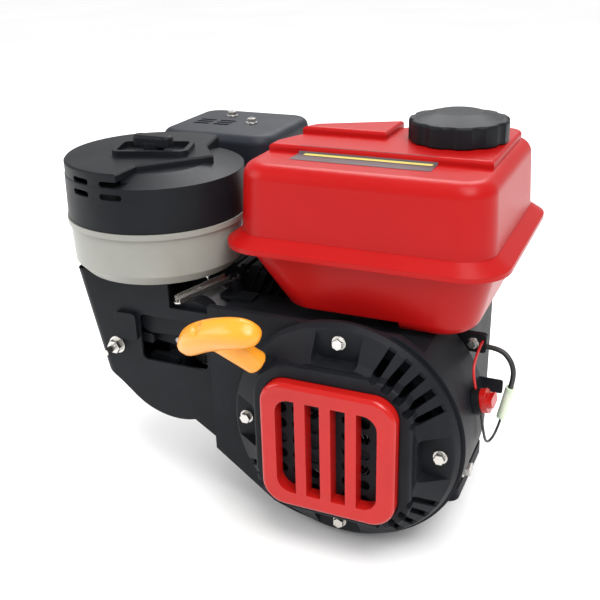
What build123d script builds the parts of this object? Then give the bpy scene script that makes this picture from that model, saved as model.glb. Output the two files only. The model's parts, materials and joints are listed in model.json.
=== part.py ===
"""Small single-cylinder petrol engine: inclined cylinder, side shaft, pull starter, tank on top.

The crankshaft lies along Y. The pull starter is at -Y, the driven shaft leaves at +Y, the
cylinder leans towards -X and the engine stands on z = 0. The origin is the centre of the
four base holes, on the underside.
"""
import math
import os

from build123d import *

os.makedirs("parts", exist_ok=True)

# ------------------------------------------------------------------ driving dimensions (mm)
RUNNING_GAP = 0.05      # radial clearance of a turning or sliding fit
BODY_GAP = 0.4          # clearance between pieces that move past each other

CRANK_Z = 106.0         # crankshaft axis above the underside
CYL_TILT = 25.0         # cylinder axis above the horizontal, degrees
CYL_Y = -8.0            # middle plane of the cylinder
BORE_R = 34.0
STROKE = 54.0
ROD_LENGTH = 92.0
CROWN_HEIGHT = 18.0     # piston pin to piston crown
SKIRT_DEPTH = 18.0      # piston pin to skirt end

CASE_WIDTH = 152.0
CASE_HEIGHT = 176.0
CASE_FRONT = -56.0
CASE_BACK = 50.0
CASE_WALL = 6.0
CASE_FRONT_WALL = 8.0
CASE_CORNER_R = 22.0
GASKET = 0.5
COVER_PLATE = 12.0      # thickness of the side cover's plate
PTO_FACE = 84.0         # machined face that the driven machine bolts to
PTO_BOSS = 88.0
PTO_BOLT_SQUARE = 65.0
PTO_BOLT_R = 3.4        # tapping size of an M8 thread
PTO_BOLT_DEPTH = 16.0

BASE_LENGTH = 186.0
BASE_WIDTH = 98.0
BASE_THICKNESS = 12.0
BASE_X = -15.5          # middle of the base, left of the crankshaft
BASE_BOLT_X = 162.0
BASE_BOLT_Y = 75.5
BASE_HOLE_R = 4.5

JOURNAL_R = 12.5
BEARING_R = 26.0
BEARING_WIDTH = 15.0
SEAL_R = 20.0
SEAL_WIDTH = 6.0
PTO_SHAFT_R = 9.525
PTO_SHAFT_LENGTH = 61.7
KEY_WIDTH = 4.76
KEY_DEPTH = 2.4
KEY_LENGTH = 46.0
END_THREAD_R = 3.45
END_THREAD_DEPTH = 25.0
WEB_R = 44.0
WEB_THICKNESS = 12.0
CRANKPIN_R = 15.0
BIG_END_R = 22.0
BIG_END_WIDTH = 17.0

GEAR_MODULE = 1.75
CRANK_TEETH = 20
CAM_TEETH = 40
GEAR_WIDTH = 10.0
GEAR_Y = 38.0           # rear face of the timing gears
CAM_SHAFT_R = 8.0
CAM_BASE_R = 12.0
CAM_LIFT = 5.5
VALVE_SPACING = 54.0    # between the two pushrods, along the crankshaft
PUSHROD_R = 2.5
TAPPET_HEAD_R = 8.0

FLYWHEEL_R = 72.0
FLYWHEEL_BACK = -72.0
FLYWHEEL_FRONT = -108.0
FAN_DEPTH = 13.0
FAN_BLADES = 16
CUP_R = 36.0
CUP_DEPTH = 27.0

BLOWER_R = 100.0
BLOWER_SCROLL_R = 110.0
BLOWER_LEFT = -121.0
BLOWER_TOP = 184.0
BLOWER_BACK = -62.0
BLOWER_FRONT = -128.0
BLOWER_WALL = 2.5
BLOWER_LIP_TOP = 196.0

STARTER_RIM_R = 97.0
STARTER_FACE_R = 71.0
STARTER_CONE_FRONT = -153.0
STARTER_FRONT = -160.0
STARTER_WALL = 3.0
STARTER_BOLT_R = 83.0
STARTER_SCREW_R = 3.0
GRILLE_SIDE = 112.0
GRILLE_CORNER_R = 20.0
GRILLE_DEPTH = 12.0
GRILLE_FRAME = 14.0
GRILLE_BARS = 3
GRILLE_BAR_WIDTH = 9.0
SHOULDER = 10.0         # black rim round the grille
REEL_R = 58.0
REEL_FRONT = -152.0
REEL_BACK = -140.0
REEL_POST_R = 8.0
ROPE_R = 2.0

TANK_LENGTH = 234.0     # across the seam flange, along X
TANK_WIDTH = 206.0      # across the seam flange, along Y
TANK_Y = -17.0          # middle of the tank
TANK_SEAM_Z = 245.0
TANK_TOP_Z = 312.0
TANK_STEP = 6.0         # height of the raised top behind the front shelf
TANK_FLOOR_Z = 188.0
TANK_RELIEF = 9.0       # how much higher the floor is over the starter
TANK_FLANGE = 11.0
TANK_SKIN = 1.5
TANK_CORNER_R = 32.0
CAP_X = 49.5
CAP_Y = 6.3
CAP_R = 41.0
CAP_TOP_Z = 341.0
NECK_R = 27.0

CLEANER_X = -195.0
CLEANER_Y = -73.0
CLEANER_R = 76.5
CLEANER_FLOOR_Z = 211.0
CLEANER_SEAM_Z = 256.0
CLEANER_TOP_Z = 307.0
CLEANER_WALL = 2.5

GUARD_LEFT = -260.0
GUARD_FRONT = -118.0
GUARD_WALL = 2.5
GUARD_TOP = 207.0

SHIELD_LEFT = -250.0
SHIELD_RIGHT = -130.0
SHIELD_FRONT = 16.0
SHIELD_BACK = 126.0
SHIELD_FLOOR_Z = 238.0
SHIELD_TOP_Z = 303.0
SHIELD_SKIN = 1.5

# ------------------------------------------------------------------ derived places
THROW = STROKE / 2
COS_TILT = math.cos(math.radians(CYL_TILT))
SIN_TILT = math.sin(math.radians(CYL_TILT))
DECK = THROW + ROD_LENGTH + CROWN_HEIGHT + 0.5
GEAR_CENTRES = GEAR_MODULE * (CRANK_TEETH + CAM_TEETH) / 2
CAM_X = -GEAR_CENTRES * SIN_TILT
CAM_Z = CRANK_Z - GEAR_CENTRES * COS_TILT
PUSHROD_DROP = GEAR_CENTRES

CRANK_AXIS = Axis((0, 0, CRANK_Z), (0, 1, 0))
CRANK_SIDE = Plane(origin=(0, 0, CRANK_Z), x_dir=(0, 1, 0), z_dir=(1, 0, 0))


# ------------------------------------------------------------------ helpers
def across(y, x=0.0, z=CRANK_Z):
    """Plane square to the crankshaft at y, seen from the starter; it extrudes towards -Y."""
    return Plane(origin=(x, y, z), x_dir=(1, 0, 0), z_dir=(0, -1, 0))


def bore_level(height, y=CYL_Y):
    """Plane square to the cylinder at a height from the crankshaft; local x is -Y, local y is up."""
    origin = (-height * COS_TILT, y, CRANK_Z + height * SIN_TILT)
    return Plane(origin=origin, x_dir=(0, -1, 0), z_dir=(-COS_TILT, 0, SIN_TILT))


def keep(part, name):
    """Label a finished piece and write it."""
    part.label = name
    export_step(part, f"parts/{name}.step")


def turned(points, side=CRANK_SIDE, axis=CRANK_AXIS):
    """Solid turned about an axis from (along, radius) points."""
    with BuildPart() as turned_part:
        with BuildSketch(side):
            with BuildLine():
                Polyline(*points, close=True)
            make_face()
        revolve(axis=axis)
    return turned_part.part


def round_bar(start, end, radius):
    """Straight round bar between two points."""
    line = Vector(*end) - Vector(*start)
    with BuildPart() as bar:
        with BuildSketch(Plane(origin=start, z_dir=line)):
            Circle(radius)
        extrude(amount=line.length)
    return bar.part


def flange_screw(across_flats, head, shank_r, shank):
    """Flanged hexagon screw: seat on z = 0, head towards +Z, shank towards -Z."""
    with BuildPart() as screw:
        with BuildSketch():
            Circle(across_flats * 0.72)
        extrude(amount=head * 0.25)
        with BuildSketch(Plane.XY.offset(head * 0.25)):
            RegularPolygon(across_flats / 2, 6, major_radius=False)
        extrude(amount=head * 0.75)
        with BuildSketch():
            Circle(shank_r)
        extrude(amount=-shank)
        fillet(screw.faces().sort_by(Axis.Z)[-1].edges(), 0.4)
    return screw.part


def involute_gear(teeth, bore_r, turn):
    """Spur gear with involute flanks, one tooth centred at `turn` degrees, drawn in XY."""
    pressure = math.radians(20)
    pitch_r = GEAR_MODULE * teeth / 2
    base_r = pitch_r * math.cos(pressure)
    root_r = pitch_r - 1.25 * GEAR_MODULE
    tip_r = pitch_r + 0.95 * GEAR_MODULE
    backlash = 0.06
    half_tooth = math.pi / (2 * teeth) - backlash / pitch_r + math.tan(pressure) - pressure
    steps = 5
    flank = []
    for step in range(steps):
        radius = max(base_r, root_r) + (tip_r - max(base_r, root_r)) * step / (steps - 1)
        roll = math.acos(min(1.0, base_r / radius))
        flank.append((radius, half_tooth - (math.tan(roll) - roll)))
    points = []
    for tooth in range(teeth):
        centre = math.radians(turn) + 2 * math.pi * tooth / teeth
        outline = [(root_r, -flank[0][1])] + [(radius, -angle) for radius, angle in flank]
        outline += [(radius, angle) for radius, angle in reversed(flank)] + [(root_r, flank[0][1])]
        if root_r >= base_r:
            outline = outline[1:-1]
        points += [(r * math.cos(centre + a), r * math.sin(centre + a)) for r, a in outline]
    with BuildPart() as gear:
        with BuildSketch():
            with BuildLine():
                Polyline(*points, close=True)
            make_face()
            Circle(bore_r, mode=Mode.SUBTRACT)
        extrude(amount=GEAR_WIDTH)
    return gear.part


# ------------------------------------------------------------------ crankcase and cover
CASE_INNER_WIDTH = CASE_WIDTH - 2 * CASE_WALL
CASE_BOSS_R = 8.0
COVER_SCREW_X = CASE_WIDTH / 2 - CASE_BOSS_R
COVER_SCREW_Z = (CASE_BOSS_R + 8, CASE_HEIGHT / 2, CASE_HEIGHT - CASE_BOSS_R)
COVER_SCREW_R = 3.0
BEARING_FRONT = CASE_FRONT + SEAL_WIDTH
BEARING_REAR = PTO_FACE - SEAL_WIDTH - 2 - BEARING_WIDTH
BARREL_R = BORE_R + 8
LINER_R = BORE_R + 3
FIN_WIDTH = 92.0
FIN_HEIGHT = 94.0
FIN_PITCH = 8.5
FINS = 5
GALLERY_DROP = PUSHROD_DROP + 7
GALLERY_WIDTH = VALVE_SPACING + 18
TANK_POSTS = (
    (-46, 26, TANK_FLOOR_Z + TANK_RELIEF), (60, 26, TANK_FLOOR_Z), (6, -38, TANK_FLOOR_Z + TANK_RELIEF))
TANK_STUD_R = 3.0
TANK_POST_R = 9.0
DRAIN_Y = -24.0
DRAIN_Z = 22.0
DRAIN_R = 6.0
COIL_ANGLE = 233.0
COIL_R = 90.0
COIL_POST_SPREAD = 13.0
COIL_BACK = -82.0
BLOWER_SCREWS = ((62, 168), (67, 50), (-60, 172), (-30, 22))    # x, z on the crankcase front
BLOWER_SCREW_R = 3.0
LUG_LEFT = 66.0             # wire terminal lug on the right of the case
LUG_RIGHT = 96.0
LUG_Z = 166.0
LUG_THICKNESS = 6.0
LUG_SCREW_X = 85.0
LUG_SCREW_R = 2.5


def coil_point(across_pos, radius=COIL_R):
    """Point beside the flywheel where the ignition coil stands: (x, z - crank height)."""
    angle = math.radians(COIL_ANGLE)
    x = radius * math.cos(angle) - across_pos * math.sin(angle)
    z = radius * math.sin(angle) + across_pos * math.cos(angle)
    return x, z


with BuildPart() as crankcase:
    with BuildSketch(across(CASE_BACK, z=CASE_HEIGHT / 2)):
        RectangleRounded(CASE_WIDTH, CASE_HEIGHT, CASE_CORNER_R)
    extrude(amount=CASE_BACK - CASE_FRONT)
    with BuildSketch():
        with Locations((BASE_X, 0)):
            RectangleRounded(BASE_LENGTH, BASE_WIDTH, 10)
    extrude(amount=BASE_THICKNESS)
    with BuildSketch(bore_level(DECK)):
        Circle(BARREL_R)
        with Locations((0, -(GALLERY_DROP + BORE_R) / 2)):
            Rectangle(GALLERY_WIDTH, GALLERY_DROP - BORE_R + 8)
    extrude(amount=-(DECK - 60))
    for fin in range(FINS):
        with BuildSketch(bore_level(DECK - fin * FIN_PITCH - (4 if fin else 0))):
            RectangleRounded(FIN_WIDTH, FIN_HEIGHT, 8)
        extrude(amount=-(2.5 if fin else 6))
    for post_x, post_y, post_z in TANK_POSTS:
        with BuildSketch(Plane(origin=(post_x, post_y, CASE_HEIGHT - 8))):
            Circle(TANK_POST_R)
        extrude(amount=post_z - CASE_HEIGHT + 8)
    with BuildSketch(across(CASE_FRONT + 2)):
        for side in (-1, 1):
            with Locations(coil_point(side * COIL_POST_SPREAD)):
                Circle(5)
    extrude(amount=CASE_FRONT + 2 - COIL_BACK)
    with BuildSketch(across(CASE_FRONT + LUG_THICKNESS, (LUG_RIGHT + LUG_LEFT) / 2, LUG_Z)):
        RectangleRounded(LUG_RIGHT - LUG_LEFT, 16, 3)
    extrude(amount=LUG_THICKNESS)
    # the hollow inside, open towards the side cover
    with BuildSketch(across(CASE_BACK, z=CASE_HEIGHT / 2 + CASE_WALL / 3)):
        RectangleRounded(CASE_INNER_WIDTH, CASE_HEIGHT - 3 * CASE_WALL, CASE_CORNER_R - CASE_WALL)
    extrude(amount=CASE_BACK - CASE_FRONT - CASE_FRONT_WALL, mode=Mode.SUBTRACT)
    # bearing boss and screw bosses inside
    with BuildSketch(across(BEARING_FRONT + BEARING_WIDTH + 1)):
        Circle(BEARING_R + 6)
    extrude(amount=BEARING_WIDTH + 6)
    with BuildSketch(across(CASE_BACK, z=0)):
        for screw_z in COVER_SCREW_Z:
            with Locations((-COVER_SCREW_X, screw_z), (COVER_SCREW_X, screw_z)):
                Circle(CASE_BOSS_R - 1)
    extrude(amount=22)
    with BuildSketch(across(CASE_FRONT + CASE_FRONT_WALL + 8, CAM_X, CAM_Z)):
        Circle(CAM_SHAFT_R + 6)
    extrude(amount=10)
    # bores
    with BuildSketch(across(CASE_BACK)):
        Circle(BEARING_R)
    extrude(amount=CASE_BACK - BEARING_FRONT, mode=Mode.SUBTRACT)
    with BuildSketch(across(CASE_BACK)):
        Circle(SEAL_R)
    extrude(amount=CASE_BACK - CASE_FRONT, mode=Mode.SUBTRACT)
    with BuildSketch(across(CASE_FRONT + CASE_FRONT_WALL + 9, CAM_X, CAM_Z)):
        Circle(CAM_SHAFT_R + RUNNING_GAP)
    extrude(amount=10, mode=Mode.SUBTRACT)
    with BuildSketch(bore_level(DECK)):
        Circle(LINER_R)
    extrude(amount=-(DECK - 56), mode=Mode.SUBTRACT)
    with BuildSketch(bore_level(DECK)):
        with Locations((-VALVE_SPACING / 2, -PUSHROD_DROP), (VALVE_SPACING / 2, -PUSHROD_DROP)):
            Circle(PUSHROD_R + 2.5)
    extrude(amount=-(DECK - 40), mode=Mode.SUBTRACT)
    with BuildSketch(across(CASE_BACK, z=0)):
        for screw_z in COVER_SCREW_Z:
            with Locations((-COVER_SCREW_X, screw_z), (COVER_SCREW_X, screw_z)):
                Circle(COVER_SCREW_R)
    extrude(amount=18, mode=Mode.SUBTRACT)
    with BuildSketch(Plane(origin=(BASE_X, 0, 0))):
        with GridLocations(BASE_BOLT_X, BASE_BOLT_Y, 2, 2):
            Circle(BASE_HOLE_R)
    extrude(amount=BASE_THICKNESS, mode=Mode.SUBTRACT)
    with BuildSketch(Plane(origin=(CASE_WIDTH / 2, DRAIN_Y, DRAIN_Z), z_dir=(1, 0, 0))):
        Circle(DRAIN_R)
    extrude(amount=-CASE_WALL * 2, mode=Mode.SUBTRACT)
    for post_x, post_y, post_z in TANK_POSTS:
        with BuildSketch(Plane(origin=(post_x, post_y, post_z))):
            Circle(TANK_STUD_R)
        extrude(amount=-12, mode=Mode.SUBTRACT)
    for screw_x, screw_z in BLOWER_SCREWS:
        with BuildSketch(across(CASE_FRONT + CASE_FRONT_WALL - 1, screw_x, screw_z)):
            Circle(BLOWER_SCREW_R)
        extrude(amount=CASE_FRONT_WALL, mode=Mode.SUBTRACT)
    with BuildSketch(across(CASE_FRONT + LUG_THICKNESS, LUG_SCREW_X, LUG_Z)):
        Circle(LUG_SCREW_R)
    extrude(amount=LUG_THICKNESS, mode=Mode.SUBTRACT)
    # liner, cast in
    with BuildSketch(bore_level(DECK)):
        Circle(LINER_R)
        Circle(BORE_R, mode=Mode.SUBTRACT)
    extrude(amount=-(DECK - 66))
keep(crankcase.part, "crankcase")

with BuildPart() as case_gasket:
    with BuildSketch(across(CASE_BACK + GASKET, z=CASE_HEIGHT / 2)):
        RectangleRounded(CASE_WIDTH, CASE_HEIGHT, CASE_CORNER_R)
        with Locations((0, CASE_WALL / 3)):
            RectangleRounded(
                CASE_INNER_WIDTH - 16, CASE_HEIGHT - 3 * CASE_WALL - 10, CASE_CORNER_R - CASE_WALL,
                mode=Mode.SUBTRACT)
    extrude(amount=GASKET)
    with BuildSketch(across(CASE_BACK + GASKET, z=0)):
        for screw_z in COVER_SCREW_Z:
            with Locations((-COVER_SCREW_X, screw_z), (COVER_SCREW_X, screw_z)):
                Circle(COVER_SCREW_R)
    extrude(amount=GASKET, mode=Mode.SUBTRACT)

COVER_IN = CASE_BACK + GASKET
COVER_OUT = COVER_IN + COVER_PLATE
FILLER_X = 44.0
FILLER_Z = 30.0
FILLER_R = 9.0

with BuildPart() as side_cover:
    with BuildSketch(across(COVER_OUT, z=CASE_HEIGHT / 2)):
        RectangleRounded(CASE_WIDTH, CASE_HEIGHT, CASE_CORNER_R)
    extrude(amount=COVER_PLATE)
    with BuildSketch(across(PTO_FACE)):
        RectangleRounded(PTO_BOSS, PTO_BOSS, 14)
    extrude(amount=PTO_FACE - COVER_OUT)
    with BuildSketch(across(COVER_OUT + 6, FILLER_X, FILLER_Z)):
        Circle(FILLER_R + 5)
    extrude(amount=8)
    with BuildSketch(across(COVER_IN + COVER_PLATE / 2, CAM_X, CAM_Z)):
        Circle(CAM_SHAFT_R + 8)
    extrude(amount=COVER_PLATE / 2)
    # hollow behind the plate
    with BuildSketch(across(COVER_IN + COVER_PLATE / 2, z=CASE_HEIGHT / 2 + CASE_WALL / 3)):
        RectangleRounded(
            CASE_INNER_WIDTH - 16, CASE_HEIGHT - 3 * CASE_WALL - 10, CASE_CORNER_R - CASE_WALL)
        with Locations((CAM_X, CAM_Z - CASE_HEIGHT / 2 - CASE_WALL / 3)):
            Circle(CAM_SHAFT_R + 6, mode=Mode.SUBTRACT)
    extrude(amount=COVER_PLATE / 2, mode=Mode.SUBTRACT)
    with BuildSketch(across(BEARING_REAR + BEARING_WIDTH)):
        Circle(BEARING_R)
    extrude(amount=BEARING_REAR + BEARING_WIDTH - COVER_IN, mode=Mode.SUBTRACT)
    with BuildSketch(across(PTO_FACE)):
        Circle(SEAL_R)
    extrude(amount=PTO_FACE - COVER_IN, mode=Mode.SUBTRACT)
    with BuildSketch(across(COVER_IN + COVER_PLATE - 2, CAM_X, CAM_Z)):
        Circle(CAM_SHAFT_R + RUNNING_GAP)
    extrude(amount=COVER_PLATE, mode=Mode.SUBTRACT)
    with BuildSketch(across(COVER_OUT, z=0)):
        for screw_z in COVER_SCREW_Z:
            with Locations((-COVER_SCREW_X, screw_z), (COVER_SCREW_X, screw_z)):
                Circle(COVER_SCREW_R)
    extrude(amount=COVER_PLATE, mode=Mode.SUBTRACT)
    with BuildSketch(across(PTO_FACE)):
        with GridLocations(PTO_BOLT_SQUARE, PTO_BOLT_SQUARE, 2, 2):
            Circle(PTO_BOLT_R)
    extrude(amount=PTO_BOLT_DEPTH, mode=Mode.SUBTRACT)
    with BuildSketch(across(COVER_OUT + 6, FILLER_X, FILLER_Z)):
        Circle(FILLER_R)
    extrude(amount=COVER_PLATE + 6, mode=Mode.SUBTRACT)
keep(side_cover.part, "side_cover")

cover_screw = flange_screw(10, 7, COVER_SCREW_R, COVER_PLATE + GASKET + 14)
with BuildPart() as cover_screws:
    for screw_z in COVER_SCREW_Z:
        for side in (-1, 1):
            with Locations(Plane(origin=(side * COVER_SCREW_X, COVER_OUT, screw_z), z_dir=(0, 1, 0))):
                add(cover_screw)

with BuildPart() as oil_dipstick:
    with BuildSketch(across(COVER_OUT + 16, FILLER_X, FILLER_Z)):
        RegularPolygon(FILLER_R + 5, 8)
    extrude(amount=10 - BODY_GAP)
    with BuildSketch(across(COVER_OUT + 7, FILLER_X, FILLER_Z)):
        Circle(FILLER_R - RUNNING_GAP)
    extrude(amount=14)
    with BuildSketch(across(COVER_OUT - 2, FILLER_X, FILLER_Z)):
        Circle(2.5)
    extrude(amount=30)
keep(oil_dipstick.part, "oil_dipstick")

with BuildPart() as drain_plug:
    with Locations(Plane(origin=(CASE_WIDTH / 2, DRAIN_Y, DRAIN_Z), z_dir=(1, 0, 0))):
        add(flange_screw(12, 8, DRAIN_R, 10))

# ------------------------------------------------------------------ crank bearings and seals
BALL_R = 3.9
BALL_RING_R = (JOURNAL_R + BEARING_R) / 2
BALLS = 9
RACE_WALL = 4.2

bearing_starts = (BEARING_FRONT, BEARING_REAR)
with BuildPart() as crank_bearings:
    for start in bearing_starts:
        middle = start + BEARING_WIDTH / 2
        with BuildSketch(CRANK_SIDE):
            with Locations((middle, JOURNAL_R + RUNNING_GAP + RACE_WALL / 2)):
                Rectangle(BEARING_WIDTH, RACE_WALL)
            with Locations((middle, BEARING_R - RACE_WALL / 2)):
                Rectangle(BEARING_WIDTH, RACE_WALL)
            with Locations((middle, BALL_RING_R)):
                Circle(BALL_R + 0.1, mode=Mode.SUBTRACT)
        revolve(axis=CRANK_AXIS)
        with Locations(across(middle)):
            with PolarLocations(BALL_RING_R, BALLS):
                Sphere(BALL_R)
keep(crank_bearings.part, "crank_bearings")

with BuildPart() as oil_seals:
    for seal_back in (CASE_FRONT + SEAL_WIDTH, PTO_FACE):
        with BuildSketch(across(seal_back)):
            Circle(SEAL_R)
            Circle(JOURNAL_R + RUNNING_GAP, mode=Mode.SUBTRACT)
        extrude(amount=SEAL_WIDTH)
keep(oil_seals.part, "oil_seals")

# ------------------------------------------------------------------ crankshaft
WEB_GAP = BIG_END_WIDTH + 2
web_front_y = CYL_Y - WEB_GAP / 2
web_rear_y = CYL_Y + WEB_GAP / 2
PTO_END = PTO_FACE + PTO_SHAFT_LENGTH
TAPER_BIG_R = 11.5
TAPER_SMALL_R = 9.5
STUB_R = 7.0
STUB_END = FLYWHEEL_FRONT - 16
MESH_ANGLE = 180 + 90 - CYL_TILT      # from the crankshaft towards the camshaft

with BuildPart() as crankshaft:
    add(turned([
        (web_rear_y, 0), (web_rear_y, WEB_R), (web_rear_y + WEB_THICKNESS, WEB_R),
        (web_rear_y + WEB_THICKNESS, 18), (GEAR_Y - GEAR_WIDTH, 18), (GEAR_Y - GEAR_WIDTH, JOURNAL_R),
        (PTO_FACE, JOURNAL_R), (PTO_FACE, PTO_SHAFT_R), (PTO_END - 1, PTO_SHAFT_R),
        (PTO_END, PTO_SHAFT_R - 1), (PTO_END, 0)]))
    add(turned([
        (web_front_y, 0), (web_front_y, WEB_R), (web_front_y - WEB_THICKNESS, WEB_R),
        (web_front_y - WEB_THICKNESS, 18), (BEARING_FRONT + BEARING_WIDTH, 18),
        (BEARING_FRONT + BEARING_WIDTH, JOURNAL_R), (CASE_FRONT - 2, JOURNAL_R),
        (FLYWHEEL_BACK - 2, TAPER_BIG_R), (FLYWHEEL_FRONT, TAPER_SMALL_R), (FLYWHEEL_FRONT, STUB_R),
        (STUB_END, STUB_R), (STUB_END, 0)]))
    key_plane = Plane(origin=(0, PTO_END - KEY_LENGTH, CRANK_Z + PTO_SHAFT_R - KEY_DEPTH), z_dir=(0, 0, 1))
    with BuildSketch(key_plane):
        with Locations((0, KEY_LENGTH / 2)):
            Rectangle(KEY_WIDTH, KEY_LENGTH)
    extrude(amount=KEY_DEPTH + 1, mode=Mode.SUBTRACT)
    with BuildSketch(across(PTO_END)):
        Circle(END_THREAD_R)
    extrude(amount=END_THREAD_DEPTH, mode=Mode.SUBTRACT)
    with Locations(across(GEAR_Y)):
        add(involute_gear(CRANK_TEETH, JOURNAL_R - 1, MESH_ANGLE))
keep(crankshaft.part, "crankshaft")


# ------------------------------------------------------------------ camshaft and valve train
CAM_FRONT = CASE_FRONT + CASE_FRONT_WALL + BODY_GAP
CAM_REAR = COVER_OUT - 4
LOBE_WIDTH = 8.0

with BuildPart() as camshaft:
    with BuildSketch(across(CAM_REAR, CAM_X, CAM_Z)):
        Circle(CAM_SHAFT_R)
    extrude(amount=CAM_REAR - CAM_FRONT)
    for side, lobe_turn in ((-1, 290), (1, 200)):
        lobe_y = CYL_Y + side * VALVE_SPACING / 2 + LOBE_WIDTH / 2
        nose = Vector(CAM_BASE_R + CAM_LIFT - 5, 0).rotate(Axis.Z, lobe_turn)
        with BuildSketch(across(lobe_y, CAM_X, CAM_Z)):
            Circle(CAM_BASE_R)
            with Locations((nose.X, nose.Y)):
                Circle(5)
            make_hull()
        extrude(amount=LOBE_WIDTH)
    with Locations(across(GEAR_Y, CAM_X, CAM_Z)):
        add(involute_gear(CAM_TEETH, CAM_SHAFT_R, MESH_ANGLE + 180 + 180 / CAM_TEETH))
keep(camshaft.part, "camshaft")

HEAD_FLOOR = DECK + 1.0
HEAD_HEIGHT = 38.0
HEAD_TOP_Z = 206.0
HEAD_TOP = HEAD_FLOOR + HEAD_HEIGHT
HEAD_LOW = PUSHROD_DROP + 8      # from the cylinder axis to the head's lower face
VALVE_OFFSET = 15.0
VALVE_STEM_R = 2.75
VALVE_HEAD_R = 13.0
VALVE_TIP = HEAD_TOP + 14
tappet_face = CAM_BASE_R + CAM_LIFT + BODY_GAP
tappet_end = 56.0

with BuildPart() as tappets:
    for side in (-1, 1):
        with BuildSketch(bore_level(tappet_face)):
            with Locations((side * VALVE_SPACING / 2, -PUSHROD_DROP)):
                Circle(TAPPET_HEAD_R)
        extrude(amount=3)
        with BuildSketch(bore_level(tappet_face)):
            with Locations((side * VALVE_SPACING / 2, -PUSHROD_DROP)):
                Circle(4)
        extrude(amount=tappet_end - tappet_face)
keep(tappets.part, "tappets")

with BuildPart() as pushrods:
    with BuildSketch(bore_level(tappet_end)):
        with Locations((-VALVE_SPACING / 2, -PUSHROD_DROP), (VALVE_SPACING / 2, -PUSHROD_DROP)):
            Circle(PUSHROD_R)
    extrude(amount=VALVE_TIP - tappet_end)
keep(pushrods.part, "pushrods")

with BuildPart() as head_gasket:
    with BuildSketch(bore_level(DECK)):
        Rectangle(FIN_WIDTH - 12, FIN_HEIGHT - 4)
        Circle(LINER_R, mode=Mode.SUBTRACT)
        with Locations((-VALVE_SPACING / 2, -PUSHROD_DROP), (VALVE_SPACING / 2, -PUSHROD_DROP)):
            Circle(PUSHROD_R + 2.5, mode=Mode.SUBTRACT)
    extrude(amount=HEAD_FLOOR - DECK)

PORT_R = 11.0
PORT_HEIGHT = HEAD_FLOOR + 20
PLUG_HEIGHT = HEAD_FLOOR + 14
PLUG_R = 7.0
head_half = FIN_WIDTH / 2
EXHAUST_STUDS = 42.0
STUD_R = 3.0
STUD_DEPTH = 12.0
INTAKE_STUDS = 32.0

with BuildPart() as cylinder_head:
    with BuildSketch(bore_level(HEAD_FLOOR)):
        with Locations((0, (BORE_R + 10 - HEAD_LOW) / 2)):
            Rectangle(2 * head_half, BORE_R + 10 + HEAD_LOW)
    extrude(amount=HEAD_HEIGHT)
    # cooling slots in both flanks
    for slot in range(3):
        with BuildSketch(bore_level(HEAD_FLOOR + 9 + slot * 9)):
            with Locations((0, 44)):
                Rectangle(2 * head_half, 22)
        extrude(amount=4.5, mode=Mode.SUBTRACT)
    with BuildSketch(Plane.XY.offset(HEAD_TOP_Z)):
        with Locations((-160, CYL_Y)):
            Rectangle(160, 160)
    extrude(amount=40, mode=Mode.SUBTRACT)
    # combustion chamber
    with BuildSketch(bore_level(HEAD_FLOOR)):
        Circle(BORE_R - 3)
    extrude(amount=8, mode=Mode.SUBTRACT)
    # valve guides and pushrod holes
    with BuildSketch(bore_level(HEAD_FLOOR)):
        with Locations((-VALVE_OFFSET, 0), (VALVE_OFFSET, 0)):
            Circle(VALVE_STEM_R + RUNNING_GAP)
        with Locations((-VALVE_SPACING / 2, -PUSHROD_DROP), (VALVE_SPACING / 2, -PUSHROD_DROP)):
            Circle(PUSHROD_R + 2.5)
    extrude(amount=HEAD_HEIGHT, mode=Mode.SUBTRACT)
    # intake port in front, exhaust port behind, both meeting their valve
    for side in (-1, 1):
        port_mouth = bore_level(PORT_HEIGHT, CYL_Y - side * head_half)
        port_plane = Plane(origin=port_mouth.origin, z_dir=(0, side, 0))
        with BuildSketch(port_plane):
            Circle(PORT_R)
        extrude(amount=head_half - VALVE_OFFSET + 4, mode=Mode.SUBTRACT)
        studs_along = (1, 0, 0) if side == 1 else (SIN_TILT, 0, COS_TILT)
        stud_spacing = INTAKE_STUDS if side == 1 else EXHAUST_STUDS
        with BuildSketch(Plane(origin=port_mouth.origin, x_dir=studs_along, z_dir=(0, side, 0))):
            with Locations((-stud_spacing / 2, 0), (stud_spacing / 2, 0)):
                Circle(STUD_R)
        extrude(amount=STUD_DEPTH, mode=Mode.SUBTRACT)
        with BuildSketch(bore_level(HEAD_FLOOR)):
            with Locations((side * VALVE_OFFSET, 0)):
                Circle(PORT_R - 1.5)
        extrude(amount=PORT_HEIGHT - HEAD_FLOOR, mode=Mode.SUBTRACT)
    # spark plug hole in the lower face
    plug_mouth = bore_level(PLUG_HEIGHT)
    plug_seat = plug_mouth.origin - plug_mouth.y_dir * HEAD_LOW
    with BuildSketch(Plane(origin=plug_seat, x_dir=(0, 1, 0), z_dir=-plug_mouth.y_dir)):
        Circle(PLUG_R)
    extrude(amount=-(HEAD_LOW - BORE_R + 14), mode=Mode.SUBTRACT)
keep(cylinder_head.part, "cylinder_head")

with BuildPart() as valves:
    for side in (-1, 1):
        with BuildSketch(bore_level(HEAD_FLOOR + 4)):
            with Locations((side * VALVE_OFFSET, 0)):
                Circle(VALVE_HEAD_R)
        extrude(amount=2)
        with BuildSketch(bore_level(HEAD_FLOOR + 4)):
            with Locations((side * VALVE_OFFSET, 0)):
                Circle(VALVE_STEM_R)
        extrude(amount=VALVE_TIP - HEAD_FLOOR - 4)
        with BuildSketch(bore_level(VALVE_TIP - 4)):
            with Locations((side * VALVE_OFFSET, 0)):
                Circle(8)
        extrude(amount=2)
keep(valves.part, "valves")

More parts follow.
